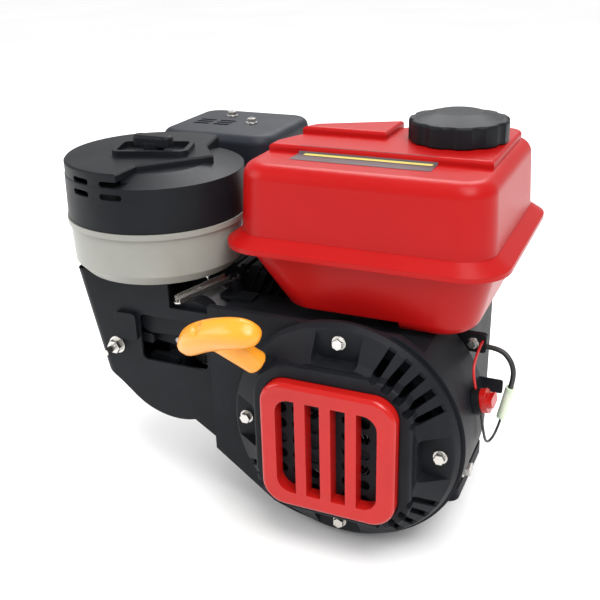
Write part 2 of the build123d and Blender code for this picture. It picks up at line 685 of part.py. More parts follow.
SPRING_R = 6.5
SPRING_WIRE_R = 0.9
spring_height = VALVE_TIP - 4 - HEAD_TOP - 2 * SPRING_WIRE_R - 0.2
with BuildPart() as valve_springs:
    for side in (-1, 1):
        foot = bore_level(HEAD_TOP + SPRING_WIRE_R + 0.1).origin + Vector(0, -side * VALVE_OFFSET, 0)
        spring_path = Helix(2.6, spring_height, SPRING_R, center=foot, direction=(-COS_TILT, 0, SIN_TILT))
        with BuildSketch(Plane(origin=spring_path @ 0, z_dir=spring_path % 0)):
            Circle(SPRING_WIRE_R)
        sweep(path=spring_path)
keep(valve_springs.part, "valve_springs")

ROCKER_WIDTH = 9.0
with BuildPart() as rocker_arms:
    for side in (-1, 1):
        with BuildSketch(bore_level(VALVE_TIP)):
            push = (side * VALVE_SPACING / 2, -PUSHROD_DROP)
            tip = (side * VALVE_OFFSET, 0)
            with Locations(push, tip):
                Circle(ROCKER_WIDTH / 2)
            make_hull()
        extrude(amount=5)
keep(rocker_arms.part, "rocker_arms")

bore_axis = Axis(origin=(0, 0, 0), direction=(-COS_TILT, 0, SIN_TILT))
COVER_CAP_LOW = HEAD_LOW
COVER_CAP_HIGH = 14.0
COVER_CAP_DEPTH = 26.0
COVER_CAP_WIDTH = VALVE_SPACING + 18
COVER_CAP_SCREWS = COVER_CAP_WIDTH + 12
cap_centre = (COVER_CAP_HIGH - COVER_CAP_LOW) / 2
cap_span = COVER_CAP_HIGH + COVER_CAP_LOW
with BuildPart() as rocker_cover:
    with BuildSketch(bore_level(HEAD_TOP)):
        with Locations((0, cap_centre)):
            RectangleRounded(COVER_CAP_WIDTH, cap_span, 8)
    extrude(amount=COVER_CAP_DEPTH)
    fillet(rocker_cover.faces().sort_by(bore_axis)[-1].edges(), 4)
    with BuildSketch(bore_level(HEAD_TOP)):
        with Locations((0, cap_centre)):
            RectangleRounded(COVER_CAP_WIDTH - 4, cap_span - 4, 6)
    extrude(amount=COVER_CAP_DEPTH - 2, mode=Mode.SUBTRACT)
    with BuildSketch(bore_level(HEAD_TOP)):
        with Locations((0, cap_centre)):
            RectangleRounded(COVER_CAP_SCREWS + 8, cap_span, 6)
            RectangleRounded(COVER_CAP_WIDTH - 4, cap_span - 4, 6, mode=Mode.SUBTRACT)
    extrude(amount=3)
    with BuildSketch(bore_level(HEAD_TOP)):
        with Locations((0, cap_centre)):
            with GridLocations(COVER_CAP_SCREWS, cap_span - 14, 2, 2):
                Circle(2.5)
    extrude(amount=3, mode=Mode.SUBTRACT)
keep(rocker_cover.part, "rocker_cover")

cover_cap_screw = flange_screw(7, 5, 2.5, 3)
with BuildPart() as rocker_cover_screws:
    for side in (-1, 1):
        for level in (-1, 1):
            seat = bore_level(HEAD_TOP + 3)
            shift = seat.x_dir * (side * COVER_CAP_SCREWS / 2)
            shift += seat.y_dir * (cap_centre + level * (cap_span - 14) / 2)
            with Locations(Plane(origin=seat.origin + shift, x_dir=seat.x_dir, z_dir=seat.z_dir)):
                add(cover_cap_screw)

# ------------------------------------------------------------------ piston and connecting rod
PIN_LEVEL = THROW + ROD_LENGTH
PISTON_PIN_R = 9.0
ROD_WIDTH = 14.0
SMALL_END_R = 12.0
CROWN_WALL = 5.0
RING_R = BORE_R - 0.03

pin_centre = bore_level(PIN_LEVEL).origin
crankpin_centre = bore_level(THROW).origin

with BuildPart() as piston:
    with BuildSketch(bore_level(PIN_LEVEL - SKIRT_DEPTH)):
        Circle(BORE_R - RUNNING_GAP)
    extrude(amount=SKIRT_DEPTH + CROWN_HEIGHT)
    with BuildSketch(bore_level(PIN_LEVEL - SKIRT_DEPTH)):
        Circle(BORE_R - 5)
    extrude(amount=SKIRT_DEPTH + CROWN_HEIGHT - CROWN_WALL, mode=Mode.SUBTRACT)
    for side in (-1, 1):
        with BuildSketch(across(CYL_Y + side * 19 + 6, pin_centre.X, pin_centre.Z)):
            Circle(PISTON_PIN_R + 4)
        extrude(amount=12)
    with BuildSketch(across(CYL_Y + BORE_R, pin_centre.X, pin_centre.Z)):
        Circle(PISTON_PIN_R)
    extrude(amount=2 * BORE_R, mode=Mode.SUBTRACT)
    for groove in range(3):
        with BuildSketch(bore_level(PIN_LEVEL + CROWN_HEIGHT - 3.5 - groove * 3.5)):
            Circle(BORE_R)
            Circle(BORE_R - 3, mode=Mode.SUBTRACT)
        extrude(amount=1.5, mode=Mode.SUBTRACT)
keep(piston.part, "piston")

with BuildPart() as piston_rings:
    for groove in range(3):
        with BuildSketch(bore_level(PIN_LEVEL + CROWN_HEIGHT - 3.5 - groove * 3.5)):
            Circle(RING_R)
            Circle(BORE_R - 3, mode=Mode.SUBTRACT)
        extrude(amount=1.5)
keep(piston_rings.part, "piston_rings")

with BuildPart() as piston_pin:
    with BuildSketch(across(CYL_Y + BORE_R - 6, pin_centre.X, pin_centre.Z)):
        Circle(PISTON_PIN_R)
        Circle(PISTON_PIN_R - 3, mode=Mode.SUBTRACT)
    extrude(amount=2 * (BORE_R - 6))
keep(piston_pin.part, "piston_pin")

with BuildPart() as connecting_rod:
    with BuildSketch(across(CYL_Y + ROD_WIDTH / 2, pin_centre.X, pin_centre.Z)):
        Circle(SMALL_END_R)
    extrude(amount=ROD_WIDTH)
    with BuildSketch(across(CYL_Y + BIG_END_WIDTH / 2, crankpin_centre.X, crankpin_centre.Z)):
        Circle(BIG_END_R)
    extrude(amount=BIG_END_WIDTH)
    with BuildSketch(bore_level(THROW + BIG_END_R - 3)):
        Rectangle(11, 18)
        Rectangle(7, 10, mode=Mode.SUBTRACT)
    extrude(amount=ROD_LENGTH - BIG_END_R - SMALL_END_R + 6)
    with BuildSketch(bore_level(THROW + BIG_END_R - 3)):
        Rectangle(5, 18)
    extrude(amount=ROD_LENGTH - BIG_END_R - SMALL_END_R + 6)
    with BuildSketch(across(CYL_Y + BIG_END_WIDTH, pin_centre.X, pin_centre.Z)):
        Circle(PISTON_PIN_R)
    extrude(amount=2 * BIG_END_WIDTH, mode=Mode.SUBTRACT)
    with BuildSketch(across(CYL_Y + BIG_END_WIDTH, crankpin_centre.X, crankpin_centre.Z)):
        Circle(CRANKPIN_R)
    extrude(amount=2 * BIG_END_WIDTH, mode=Mode.SUBTRACT)
    with BuildSketch(bore_level(THROW)):
        Rectangle(60, 60)
    extrude(amount=-(BIG_END_R + 4), mode=Mode.SUBTRACT)

with BuildPart() as rod_cap:
    with BuildSketch(across(CYL_Y + BIG_END_WIDTH / 2, crankpin_centre.X, crankpin_centre.Z)):
        Circle(BIG_END_R)
        Circle(CRANKPIN_R, mode=Mode.SUBTRACT)
    extrude(amount=BIG_END_WIDTH)
    with BuildSketch(bore_level(THROW)):
        Rectangle(60, 60)
    extrude(amount=BIG_END_R + 4, mode=Mode.SUBTRACT)
keep(Compound([connecting_rod.part.solid(), rod_cap.part.solid()]), "connecting_rod")

with BuildPart() as crankpin:
    with BuildSketch(across(CYL_Y + WEB_GAP / 2 - BODY_GAP, crankpin_centre.X, crankpin_centre.Z)):
        Circle(CRANKPIN_R)
    extrude(amount=WEB_GAP - 2 * BODY_GAP)
keep(crankpin.part, "crankpin")

# ------------------------------------------------------------------ spark plug and ignition
plug_plane = Plane(origin=plug_seat, x_dir=(0, 1, 0), z_dir=-plug_mouth.y_dir)


def along_plug(distance):
    """Plane square to the spark plug, a distance out from its seat."""
    seat = plug_plane.origin + plug_plane.z_dir * distance
    return Plane(origin=seat, x_dir=(0, 1, 0), z_dir=plug_plane.z_dir)


PLUG_HEX = 20.8
PLUG_LENGTH = 36.0
with BuildPart() as spark_plug:
    with BuildSketch(along_plug(0)):
        Circle(PLUG_R)
    extrude(amount=-19)
    with BuildSketch(along_plug(0)):
        RegularPolygon(PLUG_HEX / 2, 6, major_radius=False)
    extrude(amount=11)
    with BuildSketch(along_plug(11)):
        Circle(5)
    extrude(amount=PLUG_LENGTH - 11)
keep(spark_plug.part, "spark_plug")

COIL_WIDTH = 44.0
COIL_DEPTH = 14.0
coil_angle = math.radians(COIL_ANGLE)
coil_x_dir = (-math.sin(coil_angle), 0, math.cos(coil_angle))
coil_out = Vector(math.cos(coil_angle), 0, math.sin(coil_angle))
with BuildPart() as ignition_coil:
    # laminated core: two legs reach to the flywheel rim
    leg_plane = Plane(
        origin=Vector(0, COIL_BACK - COIL_DEPTH / 2, CRANK_Z) + coil_out * (FLYWHEEL_R + 0.6),
        x_dir=coil_x_dir, z_dir=coil_out)
    with BuildSketch(leg_plane):
        with Locations((-15, 0), (15, 0)):
            Rectangle(9, COIL_DEPTH)
    extrude(amount=16)
    with BuildSketch(Plane(origin=leg_plane.origin + coil_out * 12, x_dir=coil_x_dir, z_dir=coil_out)):
        RectangleRounded(COIL_WIDTH, COIL_DEPTH, 4)
    extrude(amount=14)
    for side in (-1, 1):
        hole_x, hole_z = coil_point(side * COIL_POST_SPREAD)
        with BuildSketch(across(COIL_BACK, hole_x, CRANK_Z + hole_z)):
            Circle(2.5)
        extrude(amount=COIL_DEPTH, mode=Mode.SUBTRACT)
keep(ignition_coil.part, "ignition_coil")

coil_screw = flange_screw(8, 5, 2.5, COIL_DEPTH)
with BuildPart() as coil_screws:
    for side in (-1, 1):
        hole_x, hole_z = coil_point(side * COIL_POST_SPREAD)
        with Locations(across(COIL_BACK - COIL_DEPTH, hole_x, CRANK_Z + hole_z)):
            add(coil_screw)

# ------------------------------------------------------------------ flywheel, fan and starter cup
FAN_BACK = FLYWHEEL_FRONT
FAN_HUB_R = 40.0

with BuildPart() as flywheel:
    add(turned([
        (FLYWHEEL_BACK, TAPER_BIG_R), (FLYWHEEL_BACK, 24), (-86, 30), (-86, 58), (FLYWHEEL_BACK, 60),
        (FLYWHEEL_BACK, FLYWHEEL_R), (FLYWHEEL_FRONT, FLYWHEEL_R), (FLYWHEEL_FRONT, 58), (-96, 56),
        (-96, 26), (FLYWHEEL_FRONT, 24), (FLYWHEEL_FRONT, TAPER_SMALL_R)]))
    # seat on the shaft's taper
    add(turned([
        (CASE_FRONT - 2, 0), (CASE_FRONT - 2, JOURNAL_R), (FLYWHEEL_BACK - 2, TAPER_BIG_R),
        (FLYWHEEL_FRONT, TAPER_SMALL_R), (FLYWHEEL_FRONT, 0)]), mode=Mode.SUBTRACT)
keep(flywheel.part, "flywheel")

with BuildPart() as cooling_fan:
    with BuildSketch(across(FAN_BACK)):
        Circle(FLYWHEEL_R)
        Circle(FAN_HUB_R, mode=Mode.SUBTRACT)
    extrude(amount=2)
    with BuildSketch(across(FAN_BACK - 2)):
        with PolarLocations((FAN_HUB_R + FLYWHEEL_R) / 2 + 2, FAN_BLADES):
            Rectangle(FLYWHEEL_R - FAN_HUB_R - 8, 2.2, rotation=24)
    extrude(amount=FAN_DEPTH - 2)
keep(cooling_fan.part, "cooling_fan")

with BuildPart() as starter_cup:
    with BuildSketch(across(FLYWHEEL_FRONT)):
        Circle(CUP_R)
        Circle(STUB_R, mode=Mode.SUBTRACT)
    extrude(amount=CUP_DEPTH)
    with BuildSketch(across(FLYWHEEL_FRONT - 2)):
        Circle(CUP_R - 2)
    extrude(amount=CUP_DEPTH, mode=Mode.SUBTRACT)
    with BuildSketch(across(FLYWHEEL_FRONT - 8)):
        with PolarLocations(CUP_R, 6):
            Rectangle(10, 9)
    extrude(amount=CUP_DEPTH - 14, mode=Mode.SUBTRACT)
keep(starter_cup.part, "starter_cup")

with BuildPart() as flywheel_nut:
    with BuildSketch(across(FLYWHEEL_FRONT - 2)):
        RegularPolygon(11, 6, major_radius=False)
        Circle(STUB_R, mode=Mode.SUBTRACT)
    extrude(amount=11)
keep(flywheel_nut.part, "flywheel_nut")


# ------------------------------------------------------------------ blower housing
def blower_outline(inset, top):
    """Scroll-shaped outline round the flywheel, drawn about the crankshaft axis."""
    radius = BLOWER_R - inset
    scroll = BLOWER_SCROLL_R - inset
    left = BLOWER_LEFT + inset
    high = top - inset - CRANK_Z
    right_x = math.sqrt(radius ** 2 - high ** 2)
    slant = math.radians(COIL_ANGLE)
    touch = (scroll * math.cos(slant), scroll * math.sin(slant))
    run = (touch[0] - left) / -math.sin(slant)
    corner = (left, touch[1] - run * math.cos(slant))
    with BuildSketch() as outline:
        with BuildLine():
            Line((left, high), (right_x, high))
            ThreePointArc((right_x, high), (radius, 0), (0, -radius))
            TangentArc((0, -radius), touch, tangent=(-1, 0))
            Line(touch, corner)
            Line(corner, (left, high))
        make_face()
    return outline.sketch


def blower_face(y, inset, top):
    """The outline placed across the crankshaft at y."""
    return across(y).from_local_coords(blower_outline(inset, top))


LEVER_PIVOT = Vector(-126, -70, 199)
LEVER_END = Vector(-155, -115, 190)
LEVER_POST_R = 3.0
LEVER_POST_DROP = 13.0
LEVER_SHEET = 1.5
LEVER_WIDTH = 10.0
lever_run = LEVER_END - LEVER_PIVOT
lever_up = lever_run.cross(Vector(0, 0, 1).cross(lever_run)).normalized()
lever_plane = Plane(origin=LEVER_PIVOT, x_dir=lever_run, z_dir=lever_up)
STARTER_MOUTH_R = 78.0
LIP_DEPTH = 6.0
BLOWER_DUCT_HALF = 56.0
blower_skin = blower_face(BLOWER_BACK, 0, BLOWER_TOP)
blower_hollow = blower_face(BLOWER_BACK, BLOWER_WALL, BLOWER_TOP)
lip_skin = blower_face(BLOWER_FRONT + LIP_DEPTH, 0, BLOWER_LIP_TOP)
SWITCH_ANGLE = 15.0
SWITCH_Y = -90.0
SWITCH_STEM_R = 5.0

with BuildPart() as blower_housing:
    extrude(to_extrude=blower_skin, amount=BLOWER_BACK - BLOWER_FRONT)
    extrude(to_extrude=lip_skin, amount=LIP_DEPTH)
    extrude(to_extrude=blower_hollow, amount=BLOWER_BACK - BLOWER_FRONT - BLOWER_WALL, mode=Mode.SUBTRACT)
    with BuildSketch(across(BLOWER_FRONT + LIP_DEPTH)):
        Circle(STARTER_MOUTH_R)
    extrude(amount=LIP_DEPTH, mode=Mode.SUBTRACT)
    # flange behind, open towards the crankcase and the cylinder fins
    extrude(to_extrude=blower_skin, amount=BLOWER_WALL)
    with BuildSketch(across(BLOWER_BACK)):
        Circle(STARTER_MOUTH_R)
        with Locations((BLOWER_LEFT / 2, 0)):
            Rectangle(-BLOWER_LEFT - 20, 2 * BLOWER_DUCT_HALF)
        with Locations(coil_point(-COIL_POST_SPREAD), coil_point(COIL_POST_SPREAD)):
            Circle(6)
    extrude(amount=BLOWER_WALL, mode=Mode.SUBTRACT)
    with BuildSketch(across(BLOWER_FRONT + LIP_DEPTH)):
        with PolarLocations(STARTER_BOLT_R, 4):
            Circle(STARTER_SCREW_R)
    extrude(amount=LIP_DEPTH, mode=Mode.SUBTRACT)
    for ear_x, ear_z in BLOWER_SCREWS:
        with BuildSketch(across(CASE_FRONT, ear_x, ear_z)):
            Circle(6)
        extrude(amount=CASE_FRONT - BLOWER_BACK + BLOWER_WALL)
        with BuildSketch(across(CASE_FRONT, ear_x, ear_z)):
            Circle(BLOWER_SCREW_R)
        extrude(amount=CASE_FRONT - BLOWER_BACK + BLOWER_WALL, mode=Mode.SUBTRACT)
    switch_dir = (math.cos(math.radians(SWITCH_ANGLE)), 0, math.sin(math.radians(SWITCH_ANGLE)))
    with BuildSketch(Plane(origin=(0, SWITCH_Y, CRANK_Z), x_dir=(0, 1, 0), z_dir=switch_dir)):
        Circle(SWITCH_STEM_R)
    extrude(amount=BLOWER_R + 10, mode=Mode.SUBTRACT)
    # lug and post for the throttle lever
    with BuildSketch(Plane.XY.offset(BLOWER_TOP)):
        with Locations((LEVER_PIVOT.X + 8, BLOWER_BACK - 14)):
            RectangleRounded(32, 16, 3)
    extrude(amount=3)
    with BuildSketch(lever_plane.offset(-BODY_GAP)):
        Circle(LEVER_POST_R + 3)
    extrude(amount=-LEVER_POST_DROP)
    with BuildSketch(lever_plane.offset(-BODY_GAP)):
        Circle(LEVER_POST_R)
    extrude(amount=2 * BODY_GAP + LEVER_SHEET)
    # clip tab for the wire connector
    with BuildSketch(across(BLOWER_BACK, 103, 134)):
        RectangleRounded(20, 12, 2)
    extrude(amount=1.5)
keep(blower_housing.part, "blower_housing")

blower_screw = flange_screw(8, 5, BLOWER_SCREW_R, BLOWER_WALL + CASE_FRONT - BLOWER_BACK + 6)
with BuildPart() as blower_screws:
    for screw_x, screw_z in BLOWER_SCREWS:
        with Locations(across(BLOWER_BACK - BLOWER_WALL, screw_x, screw_z)):
            add(blower_screw)

# ------------------------------------------------------------------ pull starter
STARTER_POCKET = 38.0       # width of the hollow round each mounting screw
STARTER_SEAT = -138.0       # where the mounting screws seat
STARTER_SEAT_WALL = 3.0
SLOT_ANGLES = (27, 36, 45, 54, 63, 119, 128, 137, 146, 214, 223, 232, 241)    # clockwise from the top
SLOT_WIDTH = 6.5
SLOT_LENGTH = 25.0
SHOULDER_SIDE = GRILLE_SIDE + 2 * SHOULDER
POST_DISC_R = 24.0
HANDLE_DIR = Vector(-0.46, -0.556, 0.692).normalized()
HANDLE_ACROSS = Vector(0.887, -0.257, 0.383)
ROPE_EXIT = Vector(-65, -154, 169)
EXIT_R = 9.0

exit_plane = Plane(origin=ROPE_EXIT, x_dir=HANDLE_ACROSS, z_dir=HANDLE_DIR)


def starter_dome(inset):
    """Turned cone of the starter housing, thinned by the inset on every side."""
    back = BLOWER_FRONT
    front = STARTER_CONE_FRONT + inset
    return turned([
        (back, 0), (back, STARTER_RIM_R - inset), (back - 4, STARTER_RIM_R - inset),
        (back - 9, STARTER_RIM_R - 3 - inset), (front + 4, STARTER_FACE_R + 5 - inset),
        (front, STARTER_FACE_R - inset), (front, 0)])


pocket_centre_r = STARTER_BOLT_R + 12
pocket_length = 54.0
with BuildPart() as starter_pockets:
    with BuildSketch(across(STARTER_SEAT + STARTER_SEAT_WALL)):
        with PolarLocations(pocket_centre_r, 4):
            RectangleRounded(pocket_length + 6, STARTER_POCKET + 6, 6)
    extrude(amount=60)

dome_inner = starter_dome(STARTER_WALL)
dome_outer = starter_dome(0)
with BuildPart() as starter_hollow:
    add(dome_inner)
    add(starter_pockets.part, mode=Mode.SUBTRACT)
    with BuildSketch(across(STARTER_CONE_FRONT + 8)):
        Circle(REEL_R + 3)
    extrude(amount=STARTER_CONE_FRONT + 8 - REEL_FRONT + 1.2)

with BuildPart() as starter_housing:
    add(dome_outer)
    with BuildSketch(across(STARTER_CONE_FRONT + 8)):
        RectangleRounded(SHOULDER_SIDE, SHOULDER_SIDE, GRILLE_CORNER_R + SHOULDER)
    extrude(amount=STARTER_CONE_FRONT + 8 - STARTER_FRONT)
    fillet(starter_housing.faces().sort_by(Axis.Y)[0].edges(), 3)
    # pockets round the four mounting screws
    with BuildSketch(across(STARTER_SEAT)):
        with PolarLocations(pocket_centre_r, 4):
            RectangleRounded(pocket_length, STARTER_POCKET, 5)
    extrude(amount=60, mode=Mode.SUBTRACT)
    # rope exit boss
    with BuildSketch(exit_plane):
        Circle(EXIT_R)
    extrude(amount=-24)
    add(starter_hollow.part, mode=Mode.SUBTRACT)
    # recess for the grille and the opening behind it
    with BuildSketch(across(STARTER_FRONT + 4)):
        RectangleRounded(GRILLE_SIDE + 1, GRILLE_SIDE + 1, GRILLE_CORNER_R)
    extrude(amount=10, mode=Mode.SUBTRACT)
    with BuildSketch(across(STARTER_CONE_FRONT + 8)):
        RectangleRounded(GRILLE_SIDE - 12, GRILLE_SIDE - 12, GRILLE_CORNER_R - 6)
        Circle(POST_DISC_R, mode=Mode.SUBTRACT)
        Rectangle(GRILLE_SIDE, 8, mode=Mode.SUBTRACT)
        Rectangle(8, GRILLE_SIDE, mode=Mode.SUBTRACT)
    extrude(amount=20, mode=Mode.SUBTRACT)
    # cooling slots
    for slot_angle in SLOT_ANGLES:
        slot_turn = math.radians(90 - slot_angle)
        slot_dir = (math.cos(slot_turn), 0, math.sin(slot_turn))
        slot_plane = Plane(origin=(0, BLOWER_FRONT - 8, CRANK_Z), x_dir=slot_dir, z_dir=(0, -1, 0))
        with BuildSketch(slot_plane):
            with Locations((STARTER_FACE_R + 1 + SLOT_LENGTH / 2, 0)):
                SlotOverall(SLOT_LENGTH, SLOT_WIDTH)
        extrude(amount=40, mode=Mode.SUBTRACT)
    # post for the reel
    with BuildSketch(across(REEL_BACK + 1)):
        Circle(REEL_POST_R)
    extrude(amount=REEL_BACK + 1 - STARTER_FRONT - 5)
    with BuildSketch(across(REEL_BACK + 1)):
        Circle(3)
    extrude(amount=10, mode=Mode.SUBTRACT)
    # rope exit hole and screw holes
    with BuildSketch(exit_plane):
        Circle(ROPE_R + 1.5)
    extrude(amount=-40, mode=Mode.SUBTRACT)
    with BuildSketch(across(BLOWER_FRONT)):
        with PolarLocations(STARTER_BOLT_R, 4):
            Circle(3.2)
    extrude(amount=12, mode=Mode.SUBTRACT)
keep(starter_housing.part, "starter_housing")

starter_screw = flange_screw(8, 6, STARTER_SCREW_R, 12)
with BuildPart() as starter_screws:
    with Locations(across(STARTER_SEAT)):
        with PolarLocations(STARTER_BOLT_R, 4):
            add(starter_screw)

grille_window = GRILLE_SIDE - 2 * GRILLE_FRAME
with BuildPart() as starter_grille:
    with BuildSketch(across(STARTER_FRONT + 2)):
        RectangleRounded(GRILLE_SIDE, GRILLE_SIDE, GRILLE_CORNER_R)
    extrude(amount=GRILLE_DEPTH)
    fillet(starter_grille.faces().sort_by(Axis.Y)[0].edges(), 4)
    with BuildSketch(across(STARTER_FRONT + 2)):
        RectangleRounded(grille_window, grille_window, GRILLE_CORNER_R - 8)
        for bar in range(GRILLE_BARS):
            with Locations(((bar - (GRILLE_BARS - 1) / 2) * grille_window / (GRILLE_BARS + 1), 0)):
                Rectangle(GRILLE_BAR_WIDTH, grille_window, mode=Mode.SUBTRACT)
    extrude(amount=GRILLE_DEPTH, mode=Mode.SUBTRACT)
keep(starter_grille.part, "starter_grille")

with BuildPart() as starter_screen:
    with BuildSketch(across(STARTER_FRONT + 4)):
        RectangleRounded(GRILLE_SIDE, GRILLE_SIDE, GRILLE_CORNER_R)
        with GridLocations(14, 14, 7, 7):
            Circle(4.6, mode=Mode.SUBTRACT)
    extrude(amount=2)
keep(starter_screen.part, "starter_screen")

with BuildPart() as starter_reel:
    add(turned([
        (REEL_FRONT, REEL_POST_R + RUNNING_GAP), (REEL_FRONT, 13), (REEL_FRONT + 6, 13), (REEL_FRONT + 6, 36),
        (REEL_FRONT, 36), (REEL_FRONT, REEL_R), (REEL_FRONT + 2, REEL_R), (REEL_FRONT + 2, REEL_R - 11),
        (REEL_BACK - 2, REEL_R - 11), (REEL_BACK - 2, REEL_R), (REEL_BACK, REEL_R),
        (REEL_BACK, REEL_POST_R + RUNNING_GAP)]))
    with BuildSketch(across(REEL_BACK + 9)):
        with PolarLocations(20, 2):
            Circle(3)
    extrude(amount=10)
keep(starter_reel.part, "starter_reel")

with BuildPart() as rope_winding:
    add(turned([
        (REEL_FRONT + 2.2, REEL_R - 11), (REEL_FRONT + 2.2, REEL_R - 2), (REEL_BACK - 2.2, REEL_R - 2),
        (REEL_BACK - 2.2, REEL_R - 11)]))
keep(rope_winding.part, "rope_winding")

SPRING_TURNS = 5
SPRING_STEEL = 0.8
SPRING_IN_R = 15.0
SPRING_OUT_R = 34.0


def spiral_point(turn, shift):
    """Point of the flat spring's edge after a number of turns."""
    radius = SPRING_IN_R + (SPRING_OUT_R - SPRING_IN_R) * turn / SPRING_TURNS + shift
    angle = 2 * math.pi * turn
    return radius * math.cos(angle), radius * math.sin(angle)


spiral_steps = [step / 12 for step in range(SPRING_TURNS * 12 + 1)]
with BuildPart() as recoil_spring:
    with BuildSketch(across(REEL_FRONT + 5.5)):
        with BuildLine():
            inner_edge = Spline(*[spiral_point(turn, 0) for turn in spiral_steps])
            outer_edge = Spline(*[spiral_point(turn, SPRING_STEEL) for turn in spiral_steps])
            Line(inner_edge @ 0, outer_edge @ 0)
            Line(inner_edge @ 1, outer_edge @ 1)
        make_face()
    extrude(amount=5)
keep(recoil_spring.part, "recoil_spring")

PAWL_PIVOT_R = 20.0
with BuildPart() as starter_pawls:
    for side in (-1, 1):
        with BuildSketch(across(REEL_BACK + 8, side * PAWL_PIVOT_R)):
            Circle(5.5)
            with Locations((side * 4, side * 17)):
                Circle(2.5)
            make_hull()
            Circle(3 + RUNNING_GAP, mode=Mode.SUBTRACT)
        extrude(amount=7.6)
keep(starter_pawls.part, "starter_pawls")

with BuildPart() as reel_screw:
    with BuildSketch(across(REEL_BACK + 4.4)):
        Circle(11)
    extrude(amount=3)
    with BuildSketch(across(REEL_BACK + 10)):
        RegularPolygon(5, 6, major_radius=False)
    extrude(amount=6)
    with BuildSketch(across(REEL_BACK + 2)):
        Circle(3)
    extrude(amount=10)

HANDLE_STEM = 26.0
HANDLE_STEM_R = 9.5
HANDLE_SPAN = 88.0
HANDLE_THICK = 21.0
with BuildPart() as starter_handle:
    stem_start = exit_plane.offset(BODY_GAP)
    with BuildSketch(stem_start):
        Circle(HANDLE_STEM_R)
    with BuildSketch(stem_start.offset(HANDLE_STEM)):
        Ellipse(HANDLE_STEM_R + 3, HANDLE_STEM_R)
    loft()
    grip_plane = Plane(origin=stem_start.origin, x_dir=HANDLE_ACROSS, z_dir=HANDLE_DIR.cross(HANDLE_ACROSS))
    with BuildSketch(grip_plane.offset(-HANDLE_THICK / 2)):
        with BuildLine():
            half = HANDLE_SPAN / 2
            Spline((-half, -HANDLE_STEM - 8), (-half + 6, -HANDLE_STEM - 20), (0, -HANDLE_STEM - 30),
                   (half - 6, -HANDLE_STEM - 20), (half, -HANDLE_STEM - 8))
            Spline((half, -HANDLE_STEM - 8), (half - 10, -HANDLE_STEM + 1), (16, -HANDLE_STEM),
                   (8, -HANDLE_STEM + 4), (0, -HANDLE_STEM + 5), (-8, -HANDLE_STEM + 4),
                   (-16, -HANDLE_STEM), (-half + 10, -HANDLE_STEM + 1), (-half, -HANDLE_STEM - 8))
        make_face()
    extrude(amount=HANDLE_THICK)
    with BuildSketch(stem_start):
        Circle(ROPE_R + 0.1)
    extrude(amount=HANDLE_STEM + 10, mode=Mode.SUBTRACT)
keep(starter_handle.part, "starter_handle")

with BuildPart() as starter_rope:
    with BuildSketch(stem_start):
        Circle(ROPE_R)
    extrude(amount=HANDLE_STEM + 8)
keep(starter_rope.part, "starter_rope")

# ------------------------------------------------------------------ fuel tank
TANK_CUT = (40.0, 18.0, 62.0, 105.0)    # back left corner: along x, along x, along y, along y
TANK_LEVELS = ((-57.0, 120.0), (-14.0, -6.0))   # raised levels of the top: front line y, right end x
LEVEL_EDGE = 9.0            # from the side wall to a level's edge
LEVEL_CORNER_R = 14.0
FLARE = 8.0                 # height of the sloped skirt above the seam flange
TANK_FLOOR = (154.0, 168.0)
TANK_FLOOR_SHIFT = (15.0, -2.0)
TANK_RELIEF_X = 36.0
CAP_GAP = 1.0
body_length = TANK_LENGTH - 2 * TANK_FLANGE
body_width = TANK_WIDTH - 2 * TANK_FLANGE
cap_floor = TANK_TOP_Z + TANK_STEP + CAP_GAP


def tank_plan(length, width, corner):
    """Plan of the upper pressing: rounded corners, the back left one cut away beside the muffler."""
    half_length = length / 2
    low = TANK_Y - width / 2
    high = TANK_Y + width / 2
    with BuildSketch() as plan:
        Polygon(
            (-half_length, low), (half_length, low), (half_length, high), (half_length - TANK_CUT[0], high),
            (-half_length + TANK_CUT[1], high - TANK_CUT[2]), (-half_length, high - TANK_CUT[3]), align=None)
        fillet(plan.vertices(), corner)
    return plan.sketch


def raised_plan(inset, front, right):
    """Plan of one raised level of the top, behind its front line and left of its right end."""
    with BuildSketch() as plan:
        add(tank_plan(
            body_length - 8 - 2 * LEVEL_EDGE - 2 * inset, body_width - 6 - 2 * LEVEL_EDGE - 2 * inset,
            LEVEL_CORNER_R))
        with Locations((0, front + inset - TANK_WIDTH / 2)):
            Rectangle(TANK_LENGTH, TANK_WIDTH, mode=Mode.SUBTRACT)
        with Locations((right - inset + TANK_LENGTH / 2, TANK_Y)):
            Rectangle(TANK_LENGTH, TANK_WIDTH * 2, mode=Mode.SUBTRACT)
    return plan.sketch


def upper_body(inset):
    """Upper pressing as a solid: tapered box with a round-edged, stepped top."""
    low_plan = tank_plan(body_length - 2 * inset, body_width - 2 * inset, TANK_CORNER_R - 4 - inset)
    high_plan = tank_plan(body_length - 8 - 2 * inset, body_width - 6 - 2 * inset, TANK_CORNER_R - 6 - inset)
    with BuildPart() as body:
        with BuildSketch(Plane.XY.offset(TANK_SEAM_Z)):
            add(low_plan)
        with BuildSketch(Plane.XY.offset(TANK_TOP_Z - inset)):
            add(high_plan)
        loft()
        fillet(body.faces().sort_by(Axis.Z)[-1].edges(), 12 - inset)
        for level, (front, right) in enumerate(TANK_LEVELS):
            with BuildSketch(Plane.XY.offset(TANK_TOP_Z - inset - 4 + level * TANK_STEP)):
                add(raised_plan(inset, front, right))
            extrude(amount=TANK_STEP + 4)
            fillet(body.faces().sort_by(Axis.Z)[-1].edges(), 3)
    return body.part


